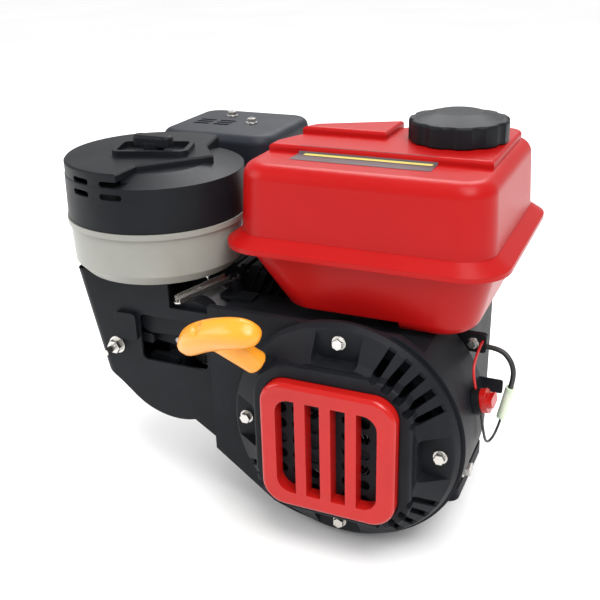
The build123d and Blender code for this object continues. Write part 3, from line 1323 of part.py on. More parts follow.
def lower_body(inset):
    """Lower pressing as a solid: runs in towards a smaller floor, relieved over the starter."""
    floor_z = TANK_FLOOR_Z + inset
    with BuildPart() as body:
        with BuildSketch(Plane.XY.offset(TANK_SEAM_Z)):
            with Locations((0, TANK_Y)):
                RectangleRounded(body_length - 2 * inset, body_width - 2 * inset, TANK_CORNER_R - inset)
        with BuildSketch(Plane.XY.offset(floor_z)):
            with Locations((TANK_FLOOR_SHIFT[0], TANK_Y + TANK_FLOOR_SHIFT[1])):
                RectangleRounded(TANK_FLOOR[0] - 2 * inset, TANK_FLOOR[1] - 2 * inset, TANK_CORNER_R - inset)
        loft()
        fillet(body.faces().sort_by(Axis.Z)[0].edges(), 12 - inset)
        with BuildSketch(Plane.XY.offset(floor_z)):
            with Locations((TANK_RELIEF_X - 100 + inset, TANK_Y)):
                Rectangle(200, TANK_WIDTH)
        extrude(amount=TANK_RELIEF, mode=Mode.SUBTRACT)
    return body.part


tank_top_skin = upper_body(0)
tank_top_hollow = upper_body(TANK_SKIN)
tank_floor_skin = lower_body(0)
tank_floor_hollow = lower_body(TANK_SKIN)

with BuildPart() as tank_top:
    add(tank_top_skin)
    with BuildSketch(Plane.XY.offset(TANK_SEAM_Z)):
        with Locations((0, TANK_Y)):
            RectangleRounded(TANK_LENGTH, TANK_WIDTH, TANK_CORNER_R + 4)
    extrude(amount=2)
    with BuildSketch(Plane.XY.offset(TANK_SEAM_Z + 2)):
        with Locations((0, TANK_Y)):
            RectangleRounded(TANK_LENGTH, TANK_WIDTH, TANK_CORNER_R + 4)
    with BuildSketch(Plane.XY.offset(TANK_SEAM_Z + 2 + FLARE)):
        with Locations((0, TANK_Y)):
            RectangleRounded(body_length, body_width, TANK_CORNER_R - 4)
    loft()
    with BuildSketch(Plane.XY.offset(TANK_TOP_Z)):
        with Locations((CAP_X, CAP_Y)):
            Circle(NECK_R)
    extrude(amount=cap_floor + 12 - TANK_TOP_Z)
    add(tank_top_hollow, mode=Mode.SUBTRACT)
    with BuildSketch(Plane.XY.offset(TANK_TOP_Z - 10)):
        with Locations((CAP_X, CAP_Y)):
            Circle(NECK_R - 2)
    extrude(amount=50, mode=Mode.SUBTRACT)

with BuildPart() as tank_bottom:
    add(tank_floor_skin)
    with BuildSketch(Plane.XY.offset(TANK_SEAM_Z)):
        with Locations((0, TANK_Y)):
            RectangleRounded(TANK_LENGTH, TANK_WIDTH, TANK_CORNER_R + 4)
    extrude(amount=-2)
    add(tank_floor_hollow, mode=Mode.SUBTRACT)

with BuildPart() as fuel_tank:
    add(tank_top.part)
    add(tank_bottom.part)
keep(fuel_tank.part, "fuel_tank")

with BuildPart() as tank_studs:
    for post_x, post_y, post_z in TANK_POSTS:
        with BuildSketch(Plane(origin=(post_x, post_y, post_z))):
            Circle(TANK_STUD_R)
        extrude(amount=-12)

CAP_SCALLOPS = 11
CAP_SIDE = 17.0
with BuildPart() as fuel_cap:
    with BuildSketch(Plane.XY.offset(cap_floor)):
        with Locations((CAP_X, CAP_Y)):
            Circle(CAP_R)
            with PolarLocations(CAP_R + 9, CAP_SCALLOPS, start_angle=12):
                Circle(11, mode=Mode.SUBTRACT)
    extrude(amount=CAP_SIDE)
    fillet(fuel_cap.faces().sort_by(Axis.Z)[-1].edges(), 2.5)
    with BuildSketch(Plane.XY.offset(cap_floor + CAP_SIDE)):
        with Locations((CAP_X, CAP_Y)):
            Circle(CAP_R - 5)
    with BuildSketch(Plane.XY.offset(CAP_TOP_Z)):
        with Locations((CAP_X, CAP_Y)):
            Circle(CAP_R - 22)
    loft()
    with BuildSketch(Plane.XY.offset(cap_floor)):
        with Locations((CAP_X, CAP_Y)):
            Circle(NECK_R + BODY_GAP)
    extrude(amount=13, mode=Mode.SUBTRACT)
keep(fuel_cap.part, "fuel_cap")

# ------------------------------------------------------------------ carburettor side
port_centre = bore_level(PORT_HEIGHT).origin
CARB_X = port_centre.X
CARB_Z = port_centre.Z
HEAD_FRONT = CYL_Y - head_half
INSULATOR = 8.0
CARB_LENGTH = 34.0
CARB_THROAT_R = 10.0
CARB_BACK = HEAD_FRONT - INSULATOR
CARB_FRONT = CARB_BACK - CARB_LENGTH
BOWL_R = 19.0
BOWL_TOP_Z = CARB_Z - 26
BOWL_DEPTH = 26.0
ELBOW_DEPTH = 15.0
ELBOW_X = -188.0
CHOKE = (-166.0, CARB_Z - 27)
CHOKE_SHAFT_R = 3.0
FUEL_VALVE = (-173.0, CARB_Z - 48)


def oval_flange():
    """Two-stud flange face."""
    with BuildSketch() as flange:
        with Locations((-INTAKE_STUDS / 2, 0), (INTAKE_STUDS / 2, 0)):
            Circle(5.5)
        Circle(15)
        make_hull()
        Circle(CARB_THROAT_R, mode=Mode.SUBTRACT)
        with Locations((-INTAKE_STUDS / 2, 0), (INTAKE_STUDS / 2, 0)):
            Circle(STUD_R, mode=Mode.SUBTRACT)
    return flange.sketch


flange_face = oval_flange()
with BuildPart() as insulator:
    extrude(to_extrude=across(HEAD_FRONT, CARB_X, CARB_Z).from_local_coords(flange_face), amount=INSULATOR)

with BuildPart() as gaskets:
    add(case_gasket.part)
    add(head_gasket.part)
    add(insulator.part)
keep(gaskets.part, "gaskets")

with BuildPart() as carburettor:
    extrude(to_extrude=across(CARB_BACK, CARB_X, CARB_Z).from_local_coords(flange_face), amount=5)
    extrude(to_extrude=across(CARB_FRONT + 5, CARB_X, CARB_Z).from_local_coords(flange_face), amount=5)
    with BuildSketch(across(CARB_BACK, CARB_X, CARB_Z)):
        Circle(14)
    extrude(amount=CARB_LENGTH)
    with BuildSketch(Plane(origin=(CARB_X, (CARB_BACK + CARB_FRONT) / 2, BOWL_TOP_Z))):
        Circle(BOWL_R - 4)
    extrude(amount=20)
    with BuildSketch(across(CARB_FRONT + 5, 0, 0)):
        with Locations(CHOKE):
            Circle(6)
        with Locations((CARB_X - 14, CARB_Z - 8)):
            Circle(7)
        make_hull()
    extrude(amount=5)
    with BuildSketch(across(CARB_FRONT + 2, *CHOKE)):
        Circle(CHOKE_SHAFT_R)
    extrude(amount=11)
    with BuildSketch(across(CARB_BACK, CARB_X, CARB_Z)):
        Circle(CARB_THROAT_R)
        with Locations((-INTAKE_STUDS / 2, 0), (INTAKE_STUDS / 2, 0)):
            Circle(STUD_R)
    extrude(amount=CARB_LENGTH, mode=Mode.SUBTRACT)
keep(carburettor.part, "carburettor")

with BuildPart() as carburettor_studs:
    with BuildSketch(across(HEAD_FRONT + STUD_DEPTH, CARB_X, CARB_Z)):
        with Locations((-INTAKE_STUDS / 2, 0), (INTAKE_STUDS / 2, 0)):
            Circle(STUD_R)
    extrude(amount=STUD_DEPTH + INSULATOR + CARB_LENGTH)

with BuildPart() as float_bowl:
    with BuildSketch(Plane(origin=(CARB_X, (CARB_BACK + CARB_FRONT) / 2, BOWL_TOP_Z))):
        Circle(BOWL_R)
    extrude(amount=-BOWL_DEPTH)
    fillet(float_bowl.faces().sort_by(Axis.Z)[0].edges(), 5)
    with BuildSketch(Plane(origin=(CARB_X, (CARB_BACK + CARB_FRONT) / 2, BOWL_TOP_Z))):
        Circle(BOWL_R - 1.2)
    extrude(amount=-BOWL_DEPTH + 1.2, mode=Mode.SUBTRACT)
    with BuildSketch(Plane(origin=(CARB_X, (CARB_BACK + CARB_FRONT) / 2, BOWL_TOP_Z - BOWL_DEPTH))):
        RegularPolygon(5, 6, major_radius=False)
    extrude(amount=-5)
keep(float_bowl.part, "float_bowl")

elbow_wall = 2.5
with BuildPart() as intake_elbow:
    for shrink, mode, mouth in ((0, Mode.ADD, 0), (elbow_wall, Mode.SUBTRACT, 1)):
        with BuildSketch(across(CARB_FRONT - shrink, 0, 0)):
            with Locations((CARB_X, CARB_Z)):
                Circle(17 - shrink)
            with Locations((ELBOW_X, CARB_Z - 6)):
                Circle(14 - shrink)
            make_hull()
        extrude(amount=ELBOW_DEPTH - 2 * shrink, mode=mode)
        with BuildSketch(across(CARB_FRONT - shrink, 0, 0)):
            with Locations((ELBOW_X, (CARB_Z - 6 + CLEANER_FLOOR_Z + mouth) / 2)):
                Rectangle(28 - 2 * shrink, CLEANER_FLOOR_Z + mouth - CARB_Z + 6)
        extrude(amount=ELBOW_DEPTH - 2 * shrink, mode=mode)
    with BuildSketch(across(CARB_FRONT, CARB_X, CARB_Z)):
        Circle(CARB_THROAT_R)
    extrude(amount=elbow_wall + 1, mode=Mode.SUBTRACT)
keep(intake_elbow.part, "intake_elbow")

with BuildPart() as choke_lever:
    with BuildSketch(across(CARB_FRONT - 4, 0, 0)):
        with Locations(CHOKE):
            Circle(6)
        with Locations((CHOKE[0] - 30, CHOKE[1] + 1)):
            Circle(4)
        make_hull()
        with Locations(CHOKE):
            Circle(CHOKE_SHAFT_R + RUNNING_GAP, mode=Mode.SUBTRACT)
    extrude(amount=3)
    with BuildSketch(across(CARB_FRONT - 7, CHOKE[0] - 28, CHOKE[1] + 1)):
        RectangleRounded(12, 9, 2)
    extrude(amount=8)
keep(choke_lever.part, "choke_lever")

with BuildPart() as fuel_valve:
    with BuildSketch(across(CARB_FRONT + 12, *FUEL_VALVE)):
        RectangleRounded(18, 24, 4)
    extrude(amount=12)
    with BuildSketch(Plane(origin=(FUEL_VALVE[0], CARB_FRONT + 6, FUEL_VALVE[1] - 11))):
        Circle(8)
    extrude(amount=-16)
    with BuildSketch(across(CARB_FRONT, *FUEL_VALVE)):
        Circle(CHOKE_SHAFT_R)
    extrude(amount=9)
    with BuildSketch(Plane(origin=(CARB_X - BOWL_R + 0.5, CARB_FRONT + 6, FUEL_VALVE[1]), z_dir=(-1, 0, 0))):
        Circle(3)
    extrude(amount=CARB_X - BOWL_R - FUEL_VALVE[0])
keep(fuel_valve.part, "fuel_valve")

with BuildPart() as fuel_valve_lever:
    with BuildSketch(across(CARB_FRONT - BODY_GAP, *FUEL_VALVE)):
        Circle(9)
    extrude(amount=3)
    with BuildSketch(across(CARB_FRONT - BODY_GAP - 3, *FUEL_VALVE)):
        Circle(5)
        with Locations((-20, 1)):
            Circle(4)
        make_hull()
    extrude(amount=5)
    with BuildSketch(across(CARB_FRONT, *FUEL_VALVE)):
        Circle(CHOKE_SHAFT_R + RUNNING_GAP)
    extrude(amount=20, mode=Mode.SUBTRACT)
keep(fuel_valve_lever.part, "fuel_valve_lever")

# ------------------------------------------------------------------ carburettor guard
GUARD_RIGHT = BLOWER_LEFT - 0.4
GUARD_BACK = HEAD_FRONT - INSULATOR + 1
GUARD_NOTCH_Z = 183.6
GUARD_NOTCH_X = -164.0
WINDOW = (-163.0, 151.0, 66.0, 44.0)      # centre x, z, width, height
GUARD_STUD = (-222.0, 139.0)
GUARD_STUD_R = 3.0
GUARD_WEB = (               # x, z
    (-262.0, 206.0), (-206.0, 206.0), (-190.0, 196.0), (-172.0, 190.0), (-172.0, 150.0), (-186.0, 146.0),
    (-186.0, 116.0), (-125.0, 116.0), (-125.0, 60.0), (-262.0, 60.0))


def guard_outline(inset):
    """Front view of the guard: straight left edge, S-shaped lower edge, notch for the throttle lever."""
    with BuildSketch() as outline:
        with BuildLine():
            Line((GUARD_LEFT + inset, GUARD_TOP), (-239 + inset, 112 + inset))
            Spline((-239 + inset, 112 + inset), (-222 + inset, 102 + inset), (-200 + inset, 84 + inset),
                   (-176 + inset, 75 + inset), (-147, 77 + inset))
            Line((-147, 77 + inset), (-124, 62 + inset))
            Line((-124, 62 + inset), (GUARD_RIGHT, 62 + inset))
            Line((GUARD_RIGHT, 62 + inset), (GUARD_RIGHT, GUARD_NOTCH_Z))
            Line((GUARD_RIGHT, GUARD_NOTCH_Z), (GUARD_NOTCH_X, GUARD_NOTCH_Z))
            Line((GUARD_NOTCH_X, GUARD_NOTCH_Z), (GUARD_NOTCH_X, GUARD_TOP))
            Line((GUARD_NOTCH_X, GUARD_TOP), (GUARD_LEFT + inset, GUARD_TOP))
        make_face()
    return outline.sketch


guard_skin = across(GUARD_BACK, 0, 0).from_local_coords(guard_outline(0))
guard_hollow = across(GUARD_BACK, 0, 0).from_local_coords(guard_outline(GUARD_WALL))
with BuildPart() as carburettor_guard:
    extrude(to_extrude=guard_skin, amount=GUARD_BACK - GUARD_FRONT)
    front_edges = carburettor_guard.faces().sort_by(Axis.Y)[0].edges().sort_by(Axis.X)[0:1]
    fillet(front_edges, 10)
    extrude(to_extrude=guard_hollow, amount=GUARD_BACK - GUARD_FRONT - GUARD_WALL, mode=Mode.SUBTRACT)
    # back web behind the window, clear of the carburettor
    with BuildSketch(across(GUARD_BACK, 0, 0)) as web:
        Polygon(*GUARD_WEB, align=None)
        add(guard_outline(GUARD_WALL / 2), mode=Mode.INTERSECT)
    extrude(amount=2)
    # bulging column with the stud seat, left of the window
    with BuildSketch(across(GUARD_FRONT + GUARD_WALL, -208, 161)):
        RectangleRounded(22, 26, 4)
    extrude(amount=GUARD_WALL + 5)
    with BuildSketch(across(GUARD_FRONT + GUARD_WALL + 12, *GUARD_STUD)):
        Circle(8)
    extrude(amount=13)
    with BuildSketch(across(GUARD_FRONT + GUARD_WALL + 12, *GUARD_STUD)):
        Circle(GUARD_STUD_R)
    extrude(amount=40, mode=Mode.SUBTRACT)
    with BuildSketch(across(GUARD_FRONT + GUARD_WALL, WINDOW[0], WINDOW[1])):
        RectangleRounded(WINDOW[2], WINDOW[3], 5)
    extrude(amount=20, mode=Mode.SUBTRACT)
keep(carburettor_guard.part, "carburettor_guard")

with BuildPart() as guard_stud:
    with BuildSketch(across(GUARD_FRONT + GUARD_WALL + 12, *GUARD_STUD)):
        Circle(GUARD_STUD_R)
    extrude(amount=34)

with BuildPart() as guard_nut:
    with BuildSketch(across(GUARD_FRONT, *GUARD_STUD)):
        Circle(8)
    extrude(amount=1.5)
    with BuildSketch(across(GUARD_FRONT - 1.5, *GUARD_STUD)):
        RegularPolygon(5.5, 6, major_radius=False)
    extrude(amount=6)
    with BuildSketch(across(GUARD_FRONT, *GUARD_STUD)):
        Circle(GUARD_STUD_R)
    extrude(amount=8, mode=Mode.SUBTRACT)

# ------------------------------------------------------------------ air cleaner
cleaner_axis = Axis((CLEANER_X, CLEANER_Y, 0), (0, 0, 1))
cleaner_side = Plane(origin=(CLEANER_X, CLEANER_Y, 0), x_dir=(0, 0, 1), z_dir=(0, -1, 0))
ring_low = CLEANER_SEAM_Z - 3
ring_high = CLEANER_SEAM_Z + 2
elbow_centre_y = CARB_FRONT - ELBOW_DEPTH / 2


def turned_upright(points):
    """Solid turned about the air cleaner's upright axis from (height, radius) points."""
    return turned(points, cleaner_side, cleaner_axis)


with BuildPart() as cleaner_body:
    add(turned_upright([
        (CLEANER_FLOOR_Z, 0), (CLEANER_FLOOR_Z, CLEANER_R - 9), (CLEANER_FLOOR_Z + 9, CLEANER_R - 1),
        (ring_low, CLEANER_R), (ring_low, CLEANER_R - CLEANER_WALL),
        (CLEANER_FLOOR_Z + 10, CLEANER_R - CLEANER_WALL - 1),
        (CLEANER_FLOOR_Z + CLEANER_WALL, CLEANER_R - CLEANER_WALL - 8), (CLEANER_FLOOR_Z + CLEANER_WALL, 0)]))
    with BuildSketch(Plane(origin=(ELBOW_X, elbow_centre_y, CLEANER_FLOOR_Z))):
        Rectangle(28 - 2 * elbow_wall, ELBOW_DEPTH - 2 * elbow_wall)
    extrude(amount=CLEANER_WALL, mode=Mode.SUBTRACT)
    with BuildSketch(Plane(origin=(CLEANER_X, CLEANER_Y, CLEANER_FLOOR_Z))):
        Circle(3)
    extrude(amount=CLEANER_WALL, mode=Mode.SUBTRACT)
keep(cleaner_body.part, "cleaner_body")

with BuildPart() as cleaner_seal:
    add(turned_upright([
        (ring_low, CLEANER_R - CLEANER_WALL - 2), (ring_low, CLEANER_R + 2), (ring_high, CLEANER_R + 2),
        (ring_high, CLEANER_R - CLEANER_WALL - 2)]))
keep(cleaner_seal.part, "cleaner_seal")

FRAME = (66.0, 40.0, 5.0)       # raised frame on the cover: length, width, height
KNOB_R = 9.0
KNOB_SPAN = 38.0
COVER_WALL = 3.0
DECK_DROP = 6.0             # how far the sloping facet lies below the deck
DECK_OUTLINE = (
    (11.0, -90.0), (11.0, -45.0), (55.0, 5.0), (33.0, 34.0), (20.0, 85.0), (-90.0, 85.0), (-90.0, -90.0))
FRAME_DIR = (0.95, 0.31, 0)     # the raised frame's long side
SLOT_TURNS = (250, 274)         # breathing slots, degrees round the cover
SLOT_SIZE = (20.0, 5.0)
SLOT_DROPS = (9.0, 19.0)        # below the deck


def deck_face(inset):
    """Outline of the cover's raised deck, drawn in by the inset."""
    with BuildSketch() as face:
        Circle(CLEANER_R - 0.5)
        Polygon(*DECK_OUTLINE, align=None, mode=Mode.INTERSECT)
        if inset:
            offset(amount=-inset)
    return face.sketch


facet_z = CLEANER_TOP_Z - DECK_DROP
with BuildPart() as cleaner_cover:
    add(turned_upright([
        (ring_high, 0), (ring_high, CLEANER_R + 1), (facet_z - 6, CLEANER_R), (facet_z, CLEANER_R - 26),
        (facet_z, 0)]))
    deck_base = Plane(origin=(CLEANER_X, CLEANER_Y, facet_z - 14))
    extrude(to_extrude=deck_base.from_local_coords(deck_face(0)), amount=DECK_DROP + 14)
    chamfer(cleaner_cover.faces().sort_by(Axis.Z)[-1].edges(), 1.5)
    with BuildSketch(Plane(origin=(CLEANER_X, CLEANER_Y, CLEANER_TOP_Z), x_dir=FRAME_DIR)):
        RectangleRounded(FRAME[0], FRAME[1], 8)
        RectangleRounded(FRAME[0] - 8, FRAME[1] - 8, 5, mode=Mode.SUBTRACT)
    extrude(amount=FRAME[2])
    add(turned_upright([
        (ring_high, 0), (ring_high, CLEANER_R + 1 - COVER_WALL),
        (facet_z - 6 - COVER_WALL, CLEANER_R - COVER_WALL), (facet_z - COVER_WALL, CLEANER_R - 26 - COVER_WALL), (facet_z - COVER_WALL, 0)]), mode=Mode.SUBTRACT)
    deck_hollow = Plane(origin=(CLEANER_X, CLEANER_Y, facet_z - 14 - COVER_WALL))
    deck_inside = deck_hollow.from_local_coords(deck_face(COVER_WALL))
    extrude(to_extrude=deck_inside, amount=DECK_DROP + 14, mode=Mode.SUBTRACT)
    # four breathing slots in the deck's front
    for slot_turn in SLOT_TURNS:
        for slot_drop in SLOT_DROPS:
            slot_dir = Vector(math.cos(math.radians(slot_turn)), math.sin(math.radians(slot_turn)), 0)
            slot_seat = Vector(CLEANER_X, CLEANER_Y, CLEANER_TOP_Z - slot_drop) + slot_dir * (CLEANER_R - 12)
            with BuildSketch(Plane(origin=slot_seat, x_dir=Vector(0, 0, 1).cross(slot_dir), z_dir=slot_dir)):
                SlotOverall(*SLOT_SIZE)
            extrude(amount=20, mode=Mode.SUBTRACT)
    with BuildSketch(Plane(origin=(CLEANER_X, CLEANER_Y, ring_high))):
        Circle(3 + RUNNING_GAP)
    extrude(amount=80, mode=Mode.SUBTRACT)
keep(cleaner_cover.part, "cleaner_cover")

with BuildPart() as filter_element:
    add(turned_upright([
        (CLEANER_FLOOR_Z + CLEANER_WALL, 40), (CLEANER_FLOOR_Z + CLEANER_WALL, 60),
        (CLEANER_TOP_Z - 17, 60), (CLEANER_TOP_Z - 17, 40)]))
keep(filter_element.part, "filter_element")

with BuildPart() as cleaner_stud:
    add(turned_upright([
        (CLEANER_FLOOR_Z - 3, 0), (CLEANER_FLOOR_Z - 3, 7), (CLEANER_FLOOR_Z, 7), (CLEANER_FLOOR_Z, 3),
        (CLEANER_TOP_Z + 7, 3), (CLEANER_TOP_Z + 7, 0)]))

knob_floor = CLEANER_TOP_Z + BODY_GAP
with BuildPart() as cleaner_knob:
    with BuildSketch(Plane(origin=(CLEANER_X, CLEANER_Y, knob_floor))):
        Circle(KNOB_R)
    extrude(amount=8)
    with BuildSketch(Plane(origin=(CLEANER_X, CLEANER_Y, knob_floor + 5))):
        SlotOverall(KNOB_SPAN, 13)
    extrude(amount=9)
    fillet(cleaner_knob.faces().sort_by(Axis.Z)[-1].edges(), 3)
    with BuildSketch(Plane(origin=(CLEANER_X, CLEANER_Y, knob_floor))):
        Circle(3 + RUNNING_GAP)
    extrude(amount=8, mode=Mode.SUBTRACT)
keep(cleaner_knob.part, "cleaner_knob")

with BuildPart() as throttle_lever:
    with BuildSketch(lever_plane):
        with Locations((lever_run.length / 2, 0)):
            SlotOverall(lever_run.length + LEVER_WIDTH, LEVER_WIDTH)
    extrude(amount=LEVER_SHEET)
    for side in (-1, 1):
        with BuildSketch(lever_plane):
            with Locations((lever_run.length / 2 + 4, side * (LEVER_WIDTH - LEVER_SHEET) / 2)):
                Rectangle(lever_run.length - 4, LEVER_SHEET)
        extrude(amount=5)
    with BuildSketch(lever_plane):
        Circle(LEVER_POST_R + RUNNING_GAP)
        with Locations((lever_run.length, 0)):
            Circle(2)
    extrude(amount=LEVER_SHEET, mode=Mode.SUBTRACT)
keep(throttle_lever.part, "throttle_lever")

# ------------------------------------------------------------------ muffler and heat shield
MUFFLER_GAP = 6.0           # air between the muffler and its shield
MUFFLER_SKIN = 1.5
PIPE_R = 12.0
EXHAUST_FLANGE = 6.0
PIPE_RUN = 26.0
PIPE_ARC = 16.0
PIPE_X = -160.0
SHIELD_SCREWS = ((-207.0, 94.0), (-173.0, 70.0))
SHIELD_SLOTS = ((-222.0, 64.0), (-200.0, 64.0))
SHIELD_SLOT_PITCH = 8.0
SHIELD_SCREW_R = 3.0
OUTLET_R = 9.0
exhaust_face = CYL_Y + head_half
shield_length = SHIELD_RIGHT - SHIELD_LEFT
shield_width = SHIELD_BACK - SHIELD_FRONT
shield_x = (SHIELD_RIGHT + SHIELD_LEFT) / 2
shield_y = (SHIELD_BACK + SHIELD_FRONT) / 2
muffler_top = SHIELD_TOP_Z - SHIELD_SKIN - MUFFLER_GAP
pipe_y = exhaust_face + EXHAUST_FLANGE + PIPE_RUN
outlet_z = (SHIELD_FLOOR_Z + muffler_top) / 2
shield_screw_places = list(SHIELD_SCREWS)


def muffler_box(inset):
    """Rounded box of the muffler, drawn in by the inset on every side."""
    floor_z = SHIELD_FLOOR_Z + inset
    with BuildPart() as box:
        with BuildSketch(Plane.XY.offset(floor_z)):
            with Locations((shield_x, shield_y)):
                RectangleRounded(
                    shield_length - 2 * MUFFLER_GAP - 2 * inset, shield_width - 2 * MUFFLER_GAP - 2 * inset,
                    16 - inset)
        extrude(amount=muffler_top - inset - floor_z)
        fillet(box.faces().sort_by(Axis.Z)[-1].edges(), 6 - inset)
        fillet(box.faces().sort_by(Axis.Z)[0].edges(), 6 - inset)
    return box.part


def exhaust_pipe(radius):
    """Pipe from the head's exhaust port up into the muffler's floor, as a solid bar."""
    with BuildPart() as pipe:
        with BuildLine() as pipe_path:
            FilletPolyline(
                (CARB_X, exhaust_face, CARB_Z), (CARB_X, pipe_y, CARB_Z),
                (PIPE_X, pipe_y + 2, CARB_Z + 30), (PIPE_X, pipe_y + 2, SHIELD_FLOOR_Z + 1), radius=PIPE_ARC)
        with BuildSketch(Plane(origin=pipe_path.line @ 0, z_dir=pipe_path.line % 0)):
            Circle(radius)
        sweep(path=pipe_path.line)
    return pipe.part


muffler_skin = muffler_box(0)
muffler_hollow = muffler_box(MUFFLER_SKIN)
pipe_skin = exhaust_pipe(PIPE_R)
pipe_hollow = exhaust_pipe(PIPE_R - MUFFLER_SKIN)
exhaust_plane = Plane(origin=(CARB_X, exhaust_face, CARB_Z), x_dir=(SIN_TILT, 0, COS_TILT), z_dir=(0, 1, 0))
exhaust_stud_places = [(-EXHAUST_STUDS / 2, 0), (EXHAUST_STUDS / 2, 0)]

with BuildPart() as muffler:
    add(muffler_skin)
    add(pipe_skin)
    with BuildSketch(exhaust_plane):
        with Locations(exhaust_stud_places):
            Circle(8)
        Circle(PIPE_R + 4)
        make_hull()
    extrude(amount=EXHAUST_FLANGE)
    with BuildSketch(Plane.XY.offset(muffler_top - 4)):
        with Locations(shield_screw_places):
            Circle(6)
    extrude(amount=MUFFLER_GAP + 4)
    with BuildSketch(Plane(origin=(shield_x, SHIELD_BACK - MUFFLER_GAP - 2, outlet_z), z_dir=(0, 1, 0))):
        Circle(OUTLET_R + MUFFLER_SKIN)
    extrude(amount=MUFFLER_GAP + 8)
    add(muffler_hollow, mode=Mode.SUBTRACT)
    add(pipe_hollow, mode=Mode.SUBTRACT)
    with BuildSketch(Plane(origin=(shield_x, SHIELD_BACK - MUFFLER_GAP - 4, outlet_z), z_dir=(0, 1, 0))):
        Circle(OUTLET_R)
    extrude(amount=MUFFLER_GAP + 12, mode=Mode.SUBTRACT)
    with BuildSketch(exhaust_plane):
        with Locations(exhaust_stud_places):
            Circle(STUD_R)
    extrude(amount=EXHAUST_FLANGE, mode=Mode.SUBTRACT)
    with BuildSketch(Plane.XY.offset(muffler_top + MUFFLER_GAP)):
        with Locations(shield_screw_places):
            Circle(SHIELD_SCREW_R)
    extrude(amount=-MUFFLER_GAP, mode=Mode.SUBTRACT)
keep(muffler.part, "muffler")


def shield_box(inset):
    """Outside or inside of the heat shield: rounded top, cut corner beside the tank."""
    with BuildPart() as box:
        with BuildSketch(Plane.XY.offset(SHIELD_FLOOR_Z)):
            with Locations((shield_x, shield_y)):
                RectangleRounded(shield_length - 2 * inset, shield_width - 2 * inset, 20 - inset)
        extrude(amount=SHIELD_TOP_Z - inset - SHIELD_FLOOR_Z)
        fillet(box.faces().sort_by(Axis.Z)[-1].edges(), 9 - inset)
    return box.part


shield_skin = shield_box(0)
shield_hollow = shield_box(SHIELD_SKIN)
with BuildPart() as heat_shield:
    add(shield_skin)
    add(shield_hollow, mode=Mode.SUBTRACT)
    with BuildSketch(Plane.XY.offset(SHIELD_TOP_Z)):
        with Locations(shield_screw_places):
            Circle(SHIELD_SCREW_R)
        for slot_x, slot_y in SHIELD_SLOTS:
            with Locations((slot_x, slot_y)):
                with GridLocations(0, SHIELD_SLOT_PITCH, 1, 3):
                    SlotOverall(18, 5)
    extrude(amount=-2 * SHIELD_SKIN, mode=Mode.SUBTRACT)
    with BuildSketch(Plane(origin=(shield_x, SHIELD_BACK + 1, outlet_z), z_dir=(0, -1, 0))):
        Circle(OUTLET_R + MUFFLER_SKIN + 1)
    extrude(amount=4, mode=Mode.SUBTRACT)
keep(heat_shield.part, "heat_shield")

# ------------------------------------------------------------------ stop switch and its wires
SWITCH_BODY_R = 11.0
SWITCH_KNOB_R = 10.0
SWITCH_FOOT = BLOWER_R + 0.2
SWITCH_RIM = 106.0
SWITCH_TOP = 116.0
switch_side = Plane(origin=(0, SWITCH_Y, CRANK_Z), x_dir=(0, 1, 0), z_dir=switch_dir)

with BuildPart() as stop_switch_body:
    with BuildSketch(switch_side.offset(SWITCH_FOOT)):
        Circle(SWITCH_BODY_R)
    extrude(amount=SWITCH_RIM - SWITCH_FOOT)
    with BuildSketch(switch_side.offset(SWITCH_FOOT)):
        Circle(SWITCH_STEM_R)
    extrude(amount=-8)
    with BuildSketch(switch_side.offset(SWITCH_RIM)):
        Circle(3)
    extrude(amount=3)
keep(stop_switch_body.part, "stop_switch_body")

with BuildPart() as stop_switch_knob:
    with BuildSketch(switch_side.offset(SWITCH_RIM + BODY_GAP)):
        Circle(SWITCH_KNOB_R)
    extrude(amount=5)
    with BuildSketch(switch_side.offset(SWITCH_RIM + BODY_GAP)):
        SlotOverall(2 * SWITCH_KNOB_R - 1, 8)
    extrude(amount=SWITCH_TOP - SWITCH_RIM - BODY_GAP)
    with BuildSketch(switch_side.offset(SWITCH_RIM)):
        Circle(3 + RUNNING_GAP)
    extrude(amount=3 + BODY_GAP, mode=Mode.SUBTRACT)
keep(stop_switch_knob.part, "stop_switch_knob")

WIRE_R = 1.1
SLEEVE_R = 2.2
CONNECTOR_R = 4.0
RED_ROUTE = ((93, -90, 157), (93, -73, 168.5), (93, CASE_FRONT, 168.5))
BLACK_ROUTE = ((104.5, -88, 104), (106, -77, 86), (109.9, -60, 88), (112.8, -58, 103))
SLEEVE_ROUTE = (
    (118.5, -58, 132), (121, -58, 144), (116.5, -55.5, 156), (107, -53, 163), (LUG_RIGHT, -53, 163))
switch_middle = switch_side.origin + switch_side.z_dir * (SWITCH_FOOT + SWITCH_RIM) / 2
switch_top_exit = switch_middle + switch_side.y_dir * SWITCH_BODY_R
switch_low_exit = switch_middle - switch_side.y_dir * SWITCH_BODY_R


def cord(name, radius, route):
    """Tube along straight runs joined by arcs as large as the runs allow; prints what it measures."""
    places = [Vector(*place) for place in route]
    runs = [after - before for before, after in zip(places, places[1:])]
    radii = []
    for run, following in zip(runs, runs[1:]):
        half_turn = math.radians(run.get_angle(following)) / 2
        radii.append(0.45 * min(run.length, following.length) / math.tan(half_turn))
    with BuildPart() as tube:
        with BuildLine() as path:
            FilletPolyline(*places, radius=radii)
        with BuildSketch(Plane(origin=path.line @ 0, z_dir=path.line % 0)):
            Circle(radius)
        sweep(path=path.line)
    section = math.pi * radius ** 2
    length = sum(edge.length for edge in path.edges())
    print(name, "radii", [round(arc, 1) for arc in radii], "length", round(length, 1),
          "volume", round(tube.part.volume, 1), "section x length", round(section * length, 1))
    return tube.part


